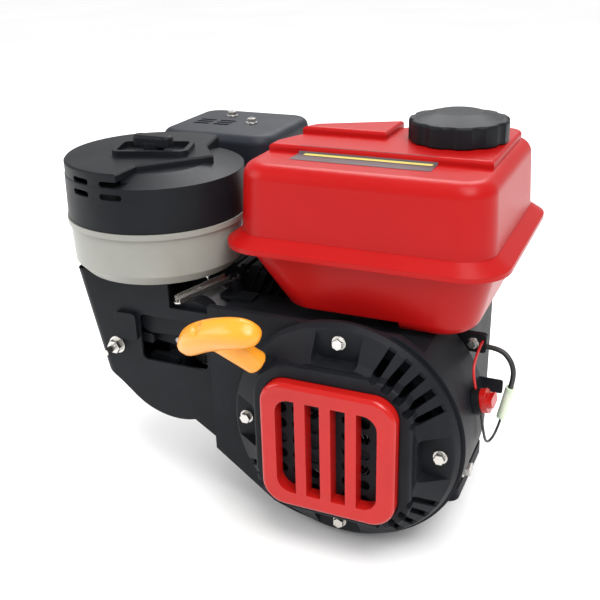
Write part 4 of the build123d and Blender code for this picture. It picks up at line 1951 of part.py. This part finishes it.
red_wire = cord("red_wire", WIRE_R, (tuple(switch_top_exit), *RED_ROUTE))
keep(red_wire, "red_wire")
black_wire = cord("black_wire", WIRE_R, (tuple(switch_low_exit), *BLACK_ROUTE))
keep(black_wire, "black_wire")
wire_sleeve = cord("wire_sleeve", SLEEVE_R, SLEEVE_ROUTE)
keep(wire_sleeve, "wire_sleeve")
bullet_connector = round_bar(BLACK_ROUTE[-1], SLEEVE_ROUTE[0], CONNECTOR_R)
keep(bullet_connector, "bullet_connector")

# ------------------------------------------------------------------ screws, studs and nuts
shield_screw = flange_screw(8, 5, SHIELD_SCREW_R, SHIELD_SKIN + 4)
with BuildPart() as shield_screws:
    for screw_x, screw_y in shield_screw_places:
        with Locations((screw_x, screw_y, SHIELD_TOP_Z)):
            add(shield_screw)

exhaust_screw = flange_screw(10, 6, STUD_R, EXHAUST_FLANGE + STUD_DEPTH)
with BuildPart() as exhaust_screws:
    for place in exhaust_stud_places:
        with Locations(exhaust_plane.offset(EXHAUST_FLANGE).location * Pos(place[0], place[1], 0)):
            add(exhaust_screw)

with BuildPart() as terminal_screw:
    with Locations(across(CASE_FRONT, LUG_SCREW_X, LUG_Z)):
        add(flange_screw(7, 4, LUG_SCREW_R, LUG_THICKNESS))

fastener_groups = (
    cover_screws, drain_plug, rocker_cover_screws, coil_screws, blower_screws, starter_screws, reel_screw,
    tank_studs, carburettor_studs, guard_stud, guard_nut, cleaner_stud, shield_screws, exhaust_screws,
    terminal_screw)
keep(Compound([solid for group in fastener_groups for solid in group.part.solids()]), "fasteners")
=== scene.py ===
"""Looks of a small petrol engine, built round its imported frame."""

import json
import math

import bmesh
import bpy
from bpy.props import FloatProperty, FloatVectorProperty, PointerProperty
from mathutils import Matrix, Vector


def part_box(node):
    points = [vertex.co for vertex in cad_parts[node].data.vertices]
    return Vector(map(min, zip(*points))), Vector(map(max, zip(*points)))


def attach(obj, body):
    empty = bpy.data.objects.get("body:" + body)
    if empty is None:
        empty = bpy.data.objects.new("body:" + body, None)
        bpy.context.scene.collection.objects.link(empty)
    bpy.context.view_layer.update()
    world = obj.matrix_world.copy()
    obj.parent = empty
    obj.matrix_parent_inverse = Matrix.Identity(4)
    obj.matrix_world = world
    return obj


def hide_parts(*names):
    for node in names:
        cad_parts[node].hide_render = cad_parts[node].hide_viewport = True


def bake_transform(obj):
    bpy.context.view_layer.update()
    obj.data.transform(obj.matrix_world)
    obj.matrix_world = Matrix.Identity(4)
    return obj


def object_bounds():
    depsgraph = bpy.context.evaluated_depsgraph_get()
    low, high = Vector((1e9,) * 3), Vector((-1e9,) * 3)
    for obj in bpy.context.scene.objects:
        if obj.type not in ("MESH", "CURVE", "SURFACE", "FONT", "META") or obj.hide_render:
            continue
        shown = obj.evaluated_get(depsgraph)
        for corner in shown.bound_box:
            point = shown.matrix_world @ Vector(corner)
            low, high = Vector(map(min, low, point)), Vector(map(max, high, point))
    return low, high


bl_info = {
    "name": "Small petrol engine",
    "version": (1, 0, 0),
    "blender": (4, 5, 0),
    "location": "View3D > Sidebar > Engine",
    "description": "Finishes, wires and moulded pieces of a small petrol engine",
    "category": "Object",
}

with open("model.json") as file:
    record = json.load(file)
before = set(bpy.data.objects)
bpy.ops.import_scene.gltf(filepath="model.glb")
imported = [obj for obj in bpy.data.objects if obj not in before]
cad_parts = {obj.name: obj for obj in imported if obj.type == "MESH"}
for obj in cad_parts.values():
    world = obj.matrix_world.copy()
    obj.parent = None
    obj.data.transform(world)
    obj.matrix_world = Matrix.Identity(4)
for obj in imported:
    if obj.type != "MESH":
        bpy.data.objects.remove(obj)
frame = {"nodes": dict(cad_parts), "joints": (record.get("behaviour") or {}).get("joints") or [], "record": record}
cad_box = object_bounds()
nodes = frame["nodes"]

CAMERA_PLACE = (0.22258, -0.70601, 0.49092)
CAMERA_TURN = math.radians(24.16)
CAMERA_TILT = math.radians(23.55)
CAMERA_ROLL = math.radians(-1.38)
CAMERA_LENS = 53.18
SENSOR_WIDTH = 36.0
FLOOR_GAP = 0.0002
LAMP_AIM = Vector((0.0, 0.0, 0.15))
ROOM_BRIGHTNESS = 0.55
SKY_LAMP = ((0.5, -0.4, 2.0), 0.7, 1.9)    # place, angle across in radians, strength
SOFT_LAMPS = (                             # name, place, side in metres, power in watts
    ("key_lamp", (0.9, -1.1, 1.6), 1.0, 20.0),
    ("fill_lamp", (-1.5, -0.9, 0.9), 1.2, 14.0),
    ("back_lamp", (-0.3, 1.2, 1.6), 1.2, 24.0),
)
GRAIN_DEPTH = 0.0004
ROPE_RADIUS = 0.0019


# ------------------------------------------------------------------ settings
def colour(name, description, value):
    """A colour property with its default."""
    return FloatVectorProperty(
        name=name, description=description, default=(*value, 1.0), size=4, min=0.0, max=1.0,
        subtype="COLOR")


def length(name, description, value):
    """A length property in metres."""
    return FloatProperty(name=name, description=description, default=value, min=0.0, unit="LENGTH")


class EngineColours(bpy.types.PropertyGroup):
    """Colours of the finishes."""
    tank_red: colour("Tank red", "Paint of the fuel tank", (0.40, 0.005, 0.005))
    grille_red: colour("Grille red", "Moulded grille over the starter", (0.47, 0.010, 0.008))
    handle_yellow: colour("Handle yellow", "Moulded starter handle", (0.86, 0.34, 0.022))
    cover_black: colour("Cover black", "Textured paint of the starter and blower", (0.0070, 0.0078, 0.0098))
    plastic_black: colour("Plastic black", "Moulded black pieces", (0.0060, 0.0068, 0.0085))
    drum_grey: colour("Drum grey", "Milky body of the air cleaner", (0.29, 0.29, 0.26))
    shield_grey: colour("Shield grey", "Heat paint of the muffler shield", (0.010, 0.012, 0.017))
    metal_grey: colour("Cast grey", "Bare cast aluminium", (0.52, 0.53, 0.54))


class EngineSizes(bpy.types.PropertyGroup):
    """Sizes that a user would change."""
    edge_soften: length("Edge softening", "Radius that softens sharp edges in the shading", 0.0008)
    label_lift: length("Label thickness", "How far a label stands off its surface", 0.0003)
    wire_diameter: length("Wires", "Diameter of the red and the black wire", 0.0022)
    sleeve_diameter: length("Sleeve", "Diameter of the black sleeve", 0.0044)
    floor_size: length("Floor", "Side of the floor", 14.0)


def colours():
    """The colours in use."""
    return bpy.context.scene.engine_colours


def sizes():
    """The sizes in use."""
    return bpy.context.scene.engine_sizes


# ------------------------------------------------------------------ finishes
def finish(name, base, other=None, roughness=(0.4, 0.5), metallic=0.0, grain=600.0, bump=0.1,
           patch=25.0, coat=0.0, soften=True, subsurface=0.0, specular=0.5):
    """Surface with slow colour drift, slow roughness drift and a fine grain.

    The frame's own plain materials carry the slot names, so a finish has an ending of its own.
    """
    name += "_finish"
    found = bpy.data.materials.get(name)
    if found:
        return found
    material = bpy.data.materials.new(name)
    material.use_nodes = True
    tree = material.node_tree
    links = tree.links
    shader = tree.nodes["Principled BSDF"]
    shader.inputs["Metallic"].default_value = metallic
    shader.inputs["Coat Weight"].default_value = coat
    shader.inputs["Specular IOR Level"].default_value = specular
    shader.inputs["Coat Roughness"].default_value = 0.12
    shader.inputs["Subsurface Weight"].default_value = subsurface
    shader.inputs["Subsurface Scale"].default_value = 0.004
    place = tree.nodes.new("ShaderNodeTexCoord")
    drift = tree.nodes.new("ShaderNodeTexNoise")
    drift.inputs["Scale"].default_value = patch
    drift.inputs["Detail"].default_value = 5.0
    drift.inputs["Roughness"].default_value = 0.6
    links.new(place.outputs["Object"], drift.inputs["Vector"])
    ramp = tree.nodes.new("ShaderNodeValToRGB")
    ramp.color_ramp.elements[0].position = 0.32
    ramp.color_ramp.elements[1].position = 0.72
    dark = other or tuple(channel * 0.8 for channel in base[:3])
    ramp.color_ramp.elements[0].color = (*dark[:3], 1.0)
    ramp.color_ramp.elements[1].color = (*base[:3], 1.0)
    links.new(drift.outputs["Fac"], ramp.inputs["Fac"])
    links.new(ramp.outputs["Color"], shader.inputs["Base Color"])
    fine = tree.nodes.new("ShaderNodeTexNoise")
    fine.inputs["Scale"].default_value = grain
    fine.inputs["Detail"].default_value = 3.0
    links.new(place.outputs["Object"], fine.inputs["Vector"])
    gloss = tree.nodes.new("ShaderNodeMapRange")
    gloss.inputs["To Min"].default_value = roughness[0]
    gloss.inputs["To Max"].default_value = roughness[1]
    links.new(drift.outputs["Fac"], gloss.inputs["Value"])
    links.new(gloss.outputs["Result"], shader.inputs["Roughness"])
    relief = tree.nodes.new("ShaderNodeBump")
    relief.inputs["Strength"].default_value = bump
    relief.inputs["Distance"].default_value = GRAIN_DEPTH
    links.new(fine.outputs["Fac"], relief.inputs["Height"])
    if soften:
        edge = tree.nodes.new("ShaderNodeBevel")
        edge.samples = 4
        edge.inputs["Radius"].default_value = sizes().edge_soften
        links.new(edge.outputs["Normal"], relief.inputs["Normal"])
    links.new(relief.outputs["Normal"], shader.inputs["Normal"])
    return material


def tank_paint():
    """Satin red paint with a fine leather-like grain."""
    red = colours().tank_red
    return finish("tank_paint", red, (red[0] * 0.9, red[1] * 0.85, red[2] * 0.85),
                  (0.30, 0.40), grain=900.0, bump=0.16, patch=9.0, coat=0.05, specular=0.16)


def grille_plastic():
    """Glossy red moulding."""
    red = colours().grille_red
    return finish("grille_plastic", red, (red[0] * 0.85, red[1] * 0.8, red[2] * 0.8),
                  (0.14, 0.22), grain=180.0, bump=0.02, patch=14.0, coat=0.15, specular=0.3)


def handle_plastic():
    """Satin orange-yellow moulding."""
    yellow = colours().handle_yellow
    return finish("handle_plastic", yellow, (yellow[0] * 0.96, yellow[1] * 0.9, yellow[2]),
                  (0.24, 0.34), grain=260.0, bump=0.03, patch=18.0, coat=0.15, specular=0.4)


def cover_paint():
    """Black powder paint with a fine texture."""
    black = colours().cover_black
    return finish("cover_paint", black, tuple(channel * 1.6 for channel in black[:3]),
                  (0.40, 0.52), grain=1500.0, bump=0.35, patch=30.0, specular=0.12)


def black_plastic():
    """Moulded black plastic, slightly brighter in random patches."""
    black = colours().plastic_black
    return finish("black_plastic", black, tuple(channel * 1.5 for channel in black[:3]),
                  (0.34, 0.48), grain=1100.0, bump=0.18, patch=22.0, specular=0.13)


def drum_plastic():
    """Milky plastic."""
    grey = colours().drum_grey
    return finish("drum_plastic", grey, tuple(channel * 0.86 for channel in grey[:3]),
                  (0.28, 0.40), grain=300.0, bump=0.06, patch=16.0, specular=0.35)


def shield_paint():
    """Dark heat paint with dust in it."""
    grey = colours().shield_grey
    return finish("shield_paint", grey, tuple(channel * 1.7 for channel in grey[:3]),
                  (0.42, 0.6), grain=800.0, bump=0.25, patch=20.0, specular=0.25)


def painted_casting():
    """Black paint over a grainy casting."""
    black = colours().cover_black
    return finish("painted_casting", black, tuple(channel * 1.5 for channel in black[:3]),
                  (0.42, 0.55), grain=900.0, bump=0.6, patch=26.0, specular=0.1)


def cast_aluminium():
    """Grainy cast aluminium."""
    grey = colours().metal_grey
    return finish("cast_aluminium", grey, tuple(channel * 0.72 for channel in grey[:3]),
                  (0.42, 0.58), metallic=0.85, grain=700.0, bump=0.5, patch=30.0)


def machined_steel():
    """Turned steel with fine marks."""
    return finish("machined_steel", (0.56, 0.56, 0.57), (0.42, 0.42, 0.44), (0.22, 0.34),
                  metallic=1.0, grain=1200.0, bump=0.08, patch=60.0)


def zinc_plate():
    """Bright zinc plate with faint blotches."""
    return finish("zinc_plate", (0.66, 0.65, 0.63), (0.52, 0.50, 0.46), (0.20, 0.32),
                  metallic=1.0, grain=900.0, bump=0.06, patch=60.0)


def grey_iron():
    """Rough grey iron."""
    return finish("grey_iron", (0.2, 0.2, 0.21), (0.12, 0.12, 0.125), (0.5, 0.65),
                  metallic=0.8, grain=700.0, bump=0.6, patch=45.0)


def pressed_fibre():
    """Dull fibre board."""
    return finish("pressed_fibre", (0.16, 0.14, 0.11), (0.11, 0.1, 0.08), (0.8, 0.9),
                  grain=900.0, bump=0.4, patch=60.0)


def soft_rubber():
    """Matt black rubber."""
    return finish("soft_rubber", (0.018, 0.018, 0.018), (0.03, 0.03, 0.03), (0.6, 0.75),
                  grain=900.0, bump=0.2, patch=60.0)


def braided_rope():
    """Off-white cord with a diagonal plait."""
    return finish("braided_rope", (0.7, 0.68, 0.62), (0.42, 0.4, 0.35), (0.8, 0.9),
                  grain=1400.0, bump=0.8, patch=900.0)


def open_foam():
    """Dark filter foam."""
    return finish("open_foam", (0.06, 0.06, 0.065), (0.015, 0.015, 0.015), (0.9, 1.0),
                  grain=900.0, bump=0.9, patch=700.0)


def red_insulation():
    """Red wire insulation."""
    return finish("red_insulation", (0.58, 0.015, 0.015), (0.42, 0.01, 0.01), (0.3, 0.42),
                  grain=500.0, bump=0.05, patch=80.0, soften=False)


def black_insulation():
    """Black wire insulation."""
    return finish("black_insulation", (0.012, 0.012, 0.012), (0.02, 0.02, 0.02), (0.35, 0.5),
                  grain=500.0, bump=0.08, patch=80.0, soften=False)


def clear_sleeve():
    """Clear vinyl connector sleeve."""
    return finish("clear_sleeve", (0.72, 0.78, 0.68), (0.5, 0.62, 0.42), (0.12, 0.2),
                  grain=300.0, bump=0.05, patch=60.0, coat=0.4, subsurface=0.3)


def label_film(name, base):
    """Plain printed film."""
    return finish(name, base, tuple(channel * 0.92 for channel in base[:3]), (0.25, 0.35),
                  grain=400.0, bump=0.02, patch=30.0, soften=False)


SLOT_FINISHES = {
    "casting": cast_aluminium, "steel": machined_steel, "zinc_steel": zinc_plate, "iron": grey_iron,
    "gasket": pressed_fibre, "rubber": soft_rubber, "black_paint": cover_paint,
    "shield_paint": shield_paint, "red_paint": tank_paint, "red_gloss": grille_plastic,
    "black_plastic": black_plastic, "drum_plastic": drum_plastic, "yellow_plastic": handle_plastic,
    "filter_foam": open_foam, "rope": braided_rope, "wire_red": red_insulation,
    "wire_black": black_insulation, "connector": clear_sleeve,
}

PAINTED_CASTINGS = ("crankcase", "side_cover", "cylinder_head", "rocker_cover")


# ------------------------------------------------------------------ making pieces
def add_piece(name, mesh, body, material, replaced=()):
    """Put a mesh or curve in the scene, give it its finish and let it ride on its body."""
    piece = bpy.data.objects.new(name, mesh)
    bpy.context.scene.collection.objects.link(piece)
    mesh.materials.clear()
    mesh.materials.append(material)
    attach(piece, body)
    if replaced:
        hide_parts(*replaced)
    return piece


def wire(name, points, diameter, body, material, replaced):
    """Round wire along one smooth line."""
    curve = bpy.data.curves.new(name, "CURVE")
    curve.dimensions = "3D"
    curve.bevel_depth = diameter / 2
    curve.bevel_resolution = 6
    curve.resolution_u = 16
    curve.use_fill_caps = True
    spline = curve.splines.new("NURBS")
    spline.points.add(len(points) - 1)
    for point, place in zip(spline.points, points):
        point.co = (*place, 1.0)
    spline.order_u = 3
    spline.use_endpoint_u = True
    return add_piece(name, curve, body, material, replaced)


def millimetres(*points):
    """Points given in millimetres, in metres."""
    return [tuple(value / 1000 for value in point) for point in points]


# ------------------------------------------------------------------ operators
class ENGINE_OT_stage(bpy.types.Operator):
    """Camera, lights and floor"""
    bl_idname = "engine.stage"
    bl_label = "Stage"

    def execute(self, context):
        self.camera()
        self.floor()
        self.lights()
        return {"FINISHED"}

    def camera(self):
        """Camera at three-quarter front, above the engine."""
        flat = math.cos(CAMERA_TILT)
        ahead = Vector((-math.sin(CAMERA_TURN) * flat, math.cos(CAMERA_TURN) * flat, -math.sin(CAMERA_TILT)))
        side = Vector((math.cos(CAMERA_TURN), math.sin(CAMERA_TURN), 0.0))
        up = side.cross(ahead)
        rolled_side = side * math.cos(CAMERA_ROLL) + up * math.sin(CAMERA_ROLL)
        rolled_up = -side * math.sin(CAMERA_ROLL) + up * math.cos(CAMERA_ROLL)
        lens = bpy.data.cameras.new("camera")
        lens.lens = CAMERA_LENS
        lens.sensor_width = SENSOR_WIDTH
        lens.clip_start = 0.01
        camera = bpy.data.objects.new("camera", lens)
        rows = [
            (rolled_side[row], rolled_up[row], -ahead[row], CAMERA_PLACE[row]) for row in range(3)]
        camera.matrix_world = Matrix((*rows, (0.0, 0.0, 0.0, 1.0)))
        bpy.context.scene.collection.objects.link(camera)
        bpy.context.scene.camera = camera

    def floor(self):
        """Pale floor that the engine stands on."""
        half = sizes().floor_size / 2
        mesh = bpy.data.meshes.new("floor")
        mesh.from_pydata(
            [(-half, -half, 0), (half, -half, 0), (half, half, 0), (-half, half, 0)], [],
            [(0, 1, 2, 3)])
        floor = bpy.data.objects.new("floor", mesh)
        floor.location.z = cad_box[0][2] - FLOOR_GAP
        mesh.materials.append(finish("floor_paint", (0.93, 0.93, 0.93), (0.9, 0.9, 0.9), (0.6, 0.7),
                                     grain=40.0, bump=0.01, patch=2.0, soften=False))
        bpy.context.scene.collection.objects.link(floor)

    def lights(self):
        """Large soft lamps, one even lamp from above and a bright room."""
        world = bpy.data.worlds.new("room")
        world.use_nodes = True
        background = world.node_tree.nodes["Background"]
        background.inputs["Color"].default_value = (1.0, 1.0, 1.0, 1.0)
        background.inputs["Strength"].default_value = ROOM_BRIGHTNESS
        bpy.context.scene.world = world
        bpy.context.scene.view_settings.view_transform = "Standard"
        for name, place, size, power in SOFT_LAMPS:
            lamp = self.lamp(name, "AREA", place, power)
            lamp.size = size
        place, angle, power = SKY_LAMP
        lamp = self.lamp("sky_lamp", "SUN", place, power)
        lamp.angle = angle

    def lamp(self, name, kind, place, power):
        """Lamp at a place, aimed at the engine."""
        lamp = bpy.data.lights.new(name, kind)
        lamp.energy = power
        holder = bpy.data.objects.new(name, lamp)
        holder.location = place
        aim = LAMP_AIM - Vector(place)
        holder.rotation_euler = aim.to_track_quat("-Z", "Y").to_euler()
        bpy.context.scene.collection.objects.link(holder)
        return lamp


class ENGINE_OT_wires(bpy.types.Operator):
    """Stop switch wires and their sleeve"""
    bl_idname = "engine.wires"
    bl_label = "Wires"

    def execute(self, context):
        thin = sizes().wire_diameter
        thick = sizes().sleeve_diameter
        red_points = millimetres(
            (96.734, -90, 143.31), (93, -90, 157), (93, -73, 168.5), (93, -56, 168.5))
        black_points = millimetres(
            (102.428, -90, 122.06), (104.5, -88, 104), (106, -77, 86), (109.9, -60, 88), (112.8, -58, 103))
        sleeve_points = millimetres(
            (118.5, -58, 132), (121, -58, 144), (116.5, -55.5, 156), (107, -53, 163), (96, -53, 163))
        red = wire("red_lead", red_points, thin, "engine", red_insulation(), ["red_wire"])
        black = wire(
            "black_lead", black_points, thin, "engine", black_insulation(), ["black_wire"])
        sleeve = wire(
            "sleeve", sleeve_points, thick, "engine", black_insulation(), ["wire_sleeve"])
        return {"FINISHED"}


class ENGINE_OT_handle(bpy.types.Operator):
    """Moulded starter handle: a curved bar on a round stem, with a pocket for the knot"""
    bl_idname = "engine.handle"
    bl_label = "Starter handle"

    stem_foot = Vector((-0.0625, -0.1565, 0.1690))
    bar_middle = Vector((-0.0880, -0.1795, 0.1990))
    outward = Vector((-0.46, -0.556, 0.692)).normalized()
    across = Vector((0.887, -0.257, 0.383)).normalized()
    half_span = 0.0450
    bar_depth = 0.0122
    bar_depth_loss = 0.0020
    bar_drop = 0.0085
    bar_thickness = 0.0112
    bar_steps = 36
    stem_width = 0.0104
    stem_widening = 0.0046
    stem_thickness = 0.0098
    stem_thinning = 0.001
    stem_steps = 12
    skin_step = 0.0008
    pocket_radius = 0.0062
    pocket_shift = 0.006
    pocket_floor = 0.004
    pocket_share = 0.8

    def execute(self, context):
        shell = self.joined()
        self.knot_pocket(shell)
        shell.shade_smooth()
        add_piece("moulded_handle", shell, "handle", handle_plastic(), ["starter_handle"])
        return {"FINISHED"}

    def loft(self, mesh, sections):
        """Closed skin through rings of points."""
        rings = [[mesh.verts.new(point) for point in section] for section in sections]
        steps = len(rings[0])
        for low, high in zip(rings, rings[1:]):
            for step in range(steps):
                following = (step + 1) % steps
                mesh.faces.new((low[step], low[following], high[following], high[step]))
        mesh.faces.new(reversed(rings[0]))
        mesh.faces.new(rings[-1])

    def section(self, centre, first, second, squareness, steps=40):
        """Rounded section from two half axes."""
        points = []
        for step in range(steps):
            angle = 2 * math.pi * step / steps
            along = math.copysign(abs(math.cos(angle)) ** squareness, math.cos(angle))
            aside = math.copysign(abs(math.sin(angle)) ** squareness, math.sin(angle))
            points.append(centre + first * along + second * aside)
        return points

    def bar(self):
        """Sections of the bar, whose ends drop back."""
        facing = self.across.cross(self.outward).normalized()
        sections = []
        for step in range(self.bar_steps + 1):
            share = -math.cos(math.pi * step / self.bar_steps)
            ending = max(1 - abs(share) ** 7, 0.0004) ** 0.5
            deep = (self.bar_depth - self.bar_depth_loss * share * share) * ending
            centre = (self.bar_middle + self.across * (share * self.half_span)
                      - self.outward * (self.bar_drop * share * share))
            thick = self.bar_thickness * ending
            sections.append(self.section(centre, self.outward * deep, facing * thick, 0.75))
        return sections

    def stem(self):
        """Sections of the stem, widening into the bar."""
        facing = self.across.cross(self.outward).normalized()
        sections = []
        for step in range(self.stem_steps + 1):
            share = step / self.stem_steps
            centre = self.stem_foot.lerp(self.bar_middle, share)
            wide = self.stem_width + self.stem_widening * share ** 1.5
            thick = self.stem_thickness - self.stem_thinning * share
            sections.append(self.section(centre, self.across * wide, facing * thick, 1.0))
        return sections

    def joined(self):
        """Bar and stem grown into one smooth skin."""
        mesh = bmesh.new()
        self.loft(mesh, self.bar())
        self.loft(mesh, self.stem())
        bmesh.ops.recalc_face_normals(mesh, faces=mesh.faces)
        rough = bpy.data.meshes.new("rough_handle")
        mesh.to_mesh(rough)
        mesh.free()
        form = bpy.data.objects.new("rough_handle", rough)
        bpy.context.scene.collection.objects.link(form)
        grown = form.modifiers.new("grown", "REMESH")
        grown.mode = "VOXEL"
        grown.voxel_size = self.skin_step
        smooth = form.modifiers.new("smooth", "SMOOTH")
        smooth.factor = 0.5
        smooth.iterations = 10
        graph = bpy.context.evaluated_depsgraph_get()
        result = bpy.data.meshes.new_from_object(form.evaluated_get(graph))
        bpy.data.objects.remove(form)
        return result

    def knot_pocket(self, mesh):
        """Round pocket in the outer face of the bar."""
        middle = self.bar_middle - self.across * self.pocket_shift
        for vertex in mesh.vertices:
            offset = vertex.co - middle
            height = offset.dot(self.outward)
            aside = (offset - self.outward * height).length
            if height > self.pocket_floor and aside < self.pocket_radius:
                deep = math.sqrt(self.pocket_radius * self.pocket_radius - aside * aside)
                vertex.co -= self.outward * deep * self.pocket_share


class ENGINE_OT_labels(bpy.types.Operator):
    """Plain label film on the tank, with nothing printed but a band"""
    bl_idname = "engine.labels"
    bl_label = "Labels"

    def execute(self, context):
        film = label_film("label_grey", (0.075, 0.068, 0.075))
        band = label_film("label_band", (0.72, 0.60, 0.16))
        sheet = millimetres((-66, -78, 0), (50, -78, 0), (50, -55, 0), (-66, -55, 0))
        strip = millimetres((-60, -63.5, 0), (47, -63.5, 0), (47, -57.5, 0), (-60, -57.5, 0))
        self.lay("tank_label", sheet, sizes().label_lift, film)
        self.lay("tank_label_band", strip, sizes().label_lift * 2, band)
        return {"FINISHED"}

    def lay(self, name, corners, lift, film, across=24, deep=8):
        """Film that follows the surface below it."""
        tank = nodes["fuel_tank"]
        to_tank = tank.matrix_world.inverted()
        first, second, third, fourth = (Vector(corner) for corner in corners)
        down = to_tank.to_3x3() @ Vector((0, 0, -1))
        points = []
        for row in range(deep + 1):
            for column in range(across + 1):
                near = first.lerp(second, column / across)
                far = fourth.lerp(third, column / across)
                above = near.lerp(far, row / deep) + Vector((0.0, 0.0, 1.0))
                hit, place, _, _ = tank.ray_cast(to_tank @ above, down)
                if not hit:
                    raise RuntimeError(f"{name} misses the tank")
                points.append(tank.matrix_world @ place + Vector((0.0, 0.0, lift)))
        faces = [
            (row * (across + 1) + column, row * (across + 1) + column + 1,
             (row + 1) * (across + 1) + column + 1, (row + 1) * (across + 1) + column)
            for row in range(deep) for column in range(across)]
        mesh = bpy.data.meshes.new(name)
        mesh.from_pydata(points, [], faces)
        mesh.shade_smooth()
        add_piece(name, mesh, "engine", film)


class ENGINE_OT_rope(bpy.types.Operator):
    """Starter rope, laid along the line the handle is pulled in"""
    bl_idname = "engine.rope"
    bl_label = "Starter rope"

    def execute(self, context):
        pull = next(joint for joint in frame["joints"] if joint["name"] == "handle_pull")
        along = Vector(pull["axis"])
        low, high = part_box("starter_rope")
        start = Vector((high.x, high.y, low.z))
        end = Vector((low.x, low.y, high.z))
        run = (end - start).project(along)
        middle = (start + end) / 2
        start, end = middle - run / 2, middle + run / 2
        side = along.orthogonal().normalized()
        other = along.cross(side)
        steps, rings = 16, 13
        mesh = bpy.data.meshes.new("pull_rope")
        points = []
        for ring in range(rings):
            centre = start.lerp(end, ring / (rings - 1))
            for step in range(steps):
                angle = 2 * math.pi * step / steps
                points.append(centre + (side * math.cos(angle) + other * math.sin(angle)) * ROPE_RADIUS)
        faces = [
            (ring * steps + step, ring * steps + (step + 1) % steps,
             (ring + 1) * steps + (step + 1) % steps, (ring + 1) * steps + step)
            for ring in range(rings - 1) for step in range(steps)]
        faces += [tuple(reversed(range(steps))), tuple(range((rings - 1) * steps, rings * steps))]
        mesh.from_pydata(points, [], faces)
        mesh.shade_smooth()
        mesh.materials.append(braided_rope())
        piece = bpy.data.objects.new("pull_rope", mesh)
        bpy.context.scene.collection.objects.link(piece)
        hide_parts("starter_rope")
        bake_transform(piece)
        return {"FINISHED"}


class ENGINE_OT_finishes(bpy.types.Operator):
    """Finishes of the carried-over pieces"""
    bl_idname = "engine.finishes"
    bl_label = "Finishes"

    def execute(self, context):
        for part in frame["record"]["subparts"]:
            piece = nodes[part["node"]]
            painted = part["node"] in PAINTED_CASTINGS
            material = painted_casting() if painted else SLOT_FINISHES[part["material_slot"]]()
            piece.data.materials.clear()
            piece.data.materials.append(material)
        return {"FINISHED"}


class ENGINE_PT_panel(bpy.types.Panel):
    """Lists the engine's operators and settings"""
    bl_idname = "ENGINE_PT_panel"
    bl_label = "Engine"
    bl_space_type = "VIEW_3D"
    bl_region_type = "UI"
    bl_category = "Engine"

    def draw(self, context):
        for operator in OPERATORS:
            self.layout.operator(operator.bl_idname)
        for group in (context.scene.engine_colours, context.scene.engine_sizes):
            for name in group.bl_rna.properties.keys():
                if name not in ("rna_type", "name"):
                    self.layout.prop(group, name)


OPERATORS = (
    ENGINE_OT_stage, ENGINE_OT_wires, ENGINE_OT_handle, ENGINE_OT_labels, ENGINE_OT_rope, ENGINE_OT_finishes)
CLASSES = (EngineColours, EngineSizes, *OPERATORS, ENGINE_PT_panel)


def register():
    for item in CLASSES:
        bpy.utils.register_class(item)
    bpy.types.Scene.engine_colours = PointerProperty(type=EngineColours)
    bpy.types.Scene.engine_sizes = PointerProperty(type=EngineSizes)


def unregister():
    del bpy.types.Scene.engine_colours
    del bpy.types.Scene.engine_sizes
    for item in reversed(CLASSES):
        bpy.utils.unregister_class(item)


def main():
    """Make the whole engine's looks."""
    register()
    for operator in OPERATORS:
        category, name = operator.bl_idname.split(".")
        getattr(getattr(bpy.ops, category), name)()


if __name__ == "__main__":
    main()
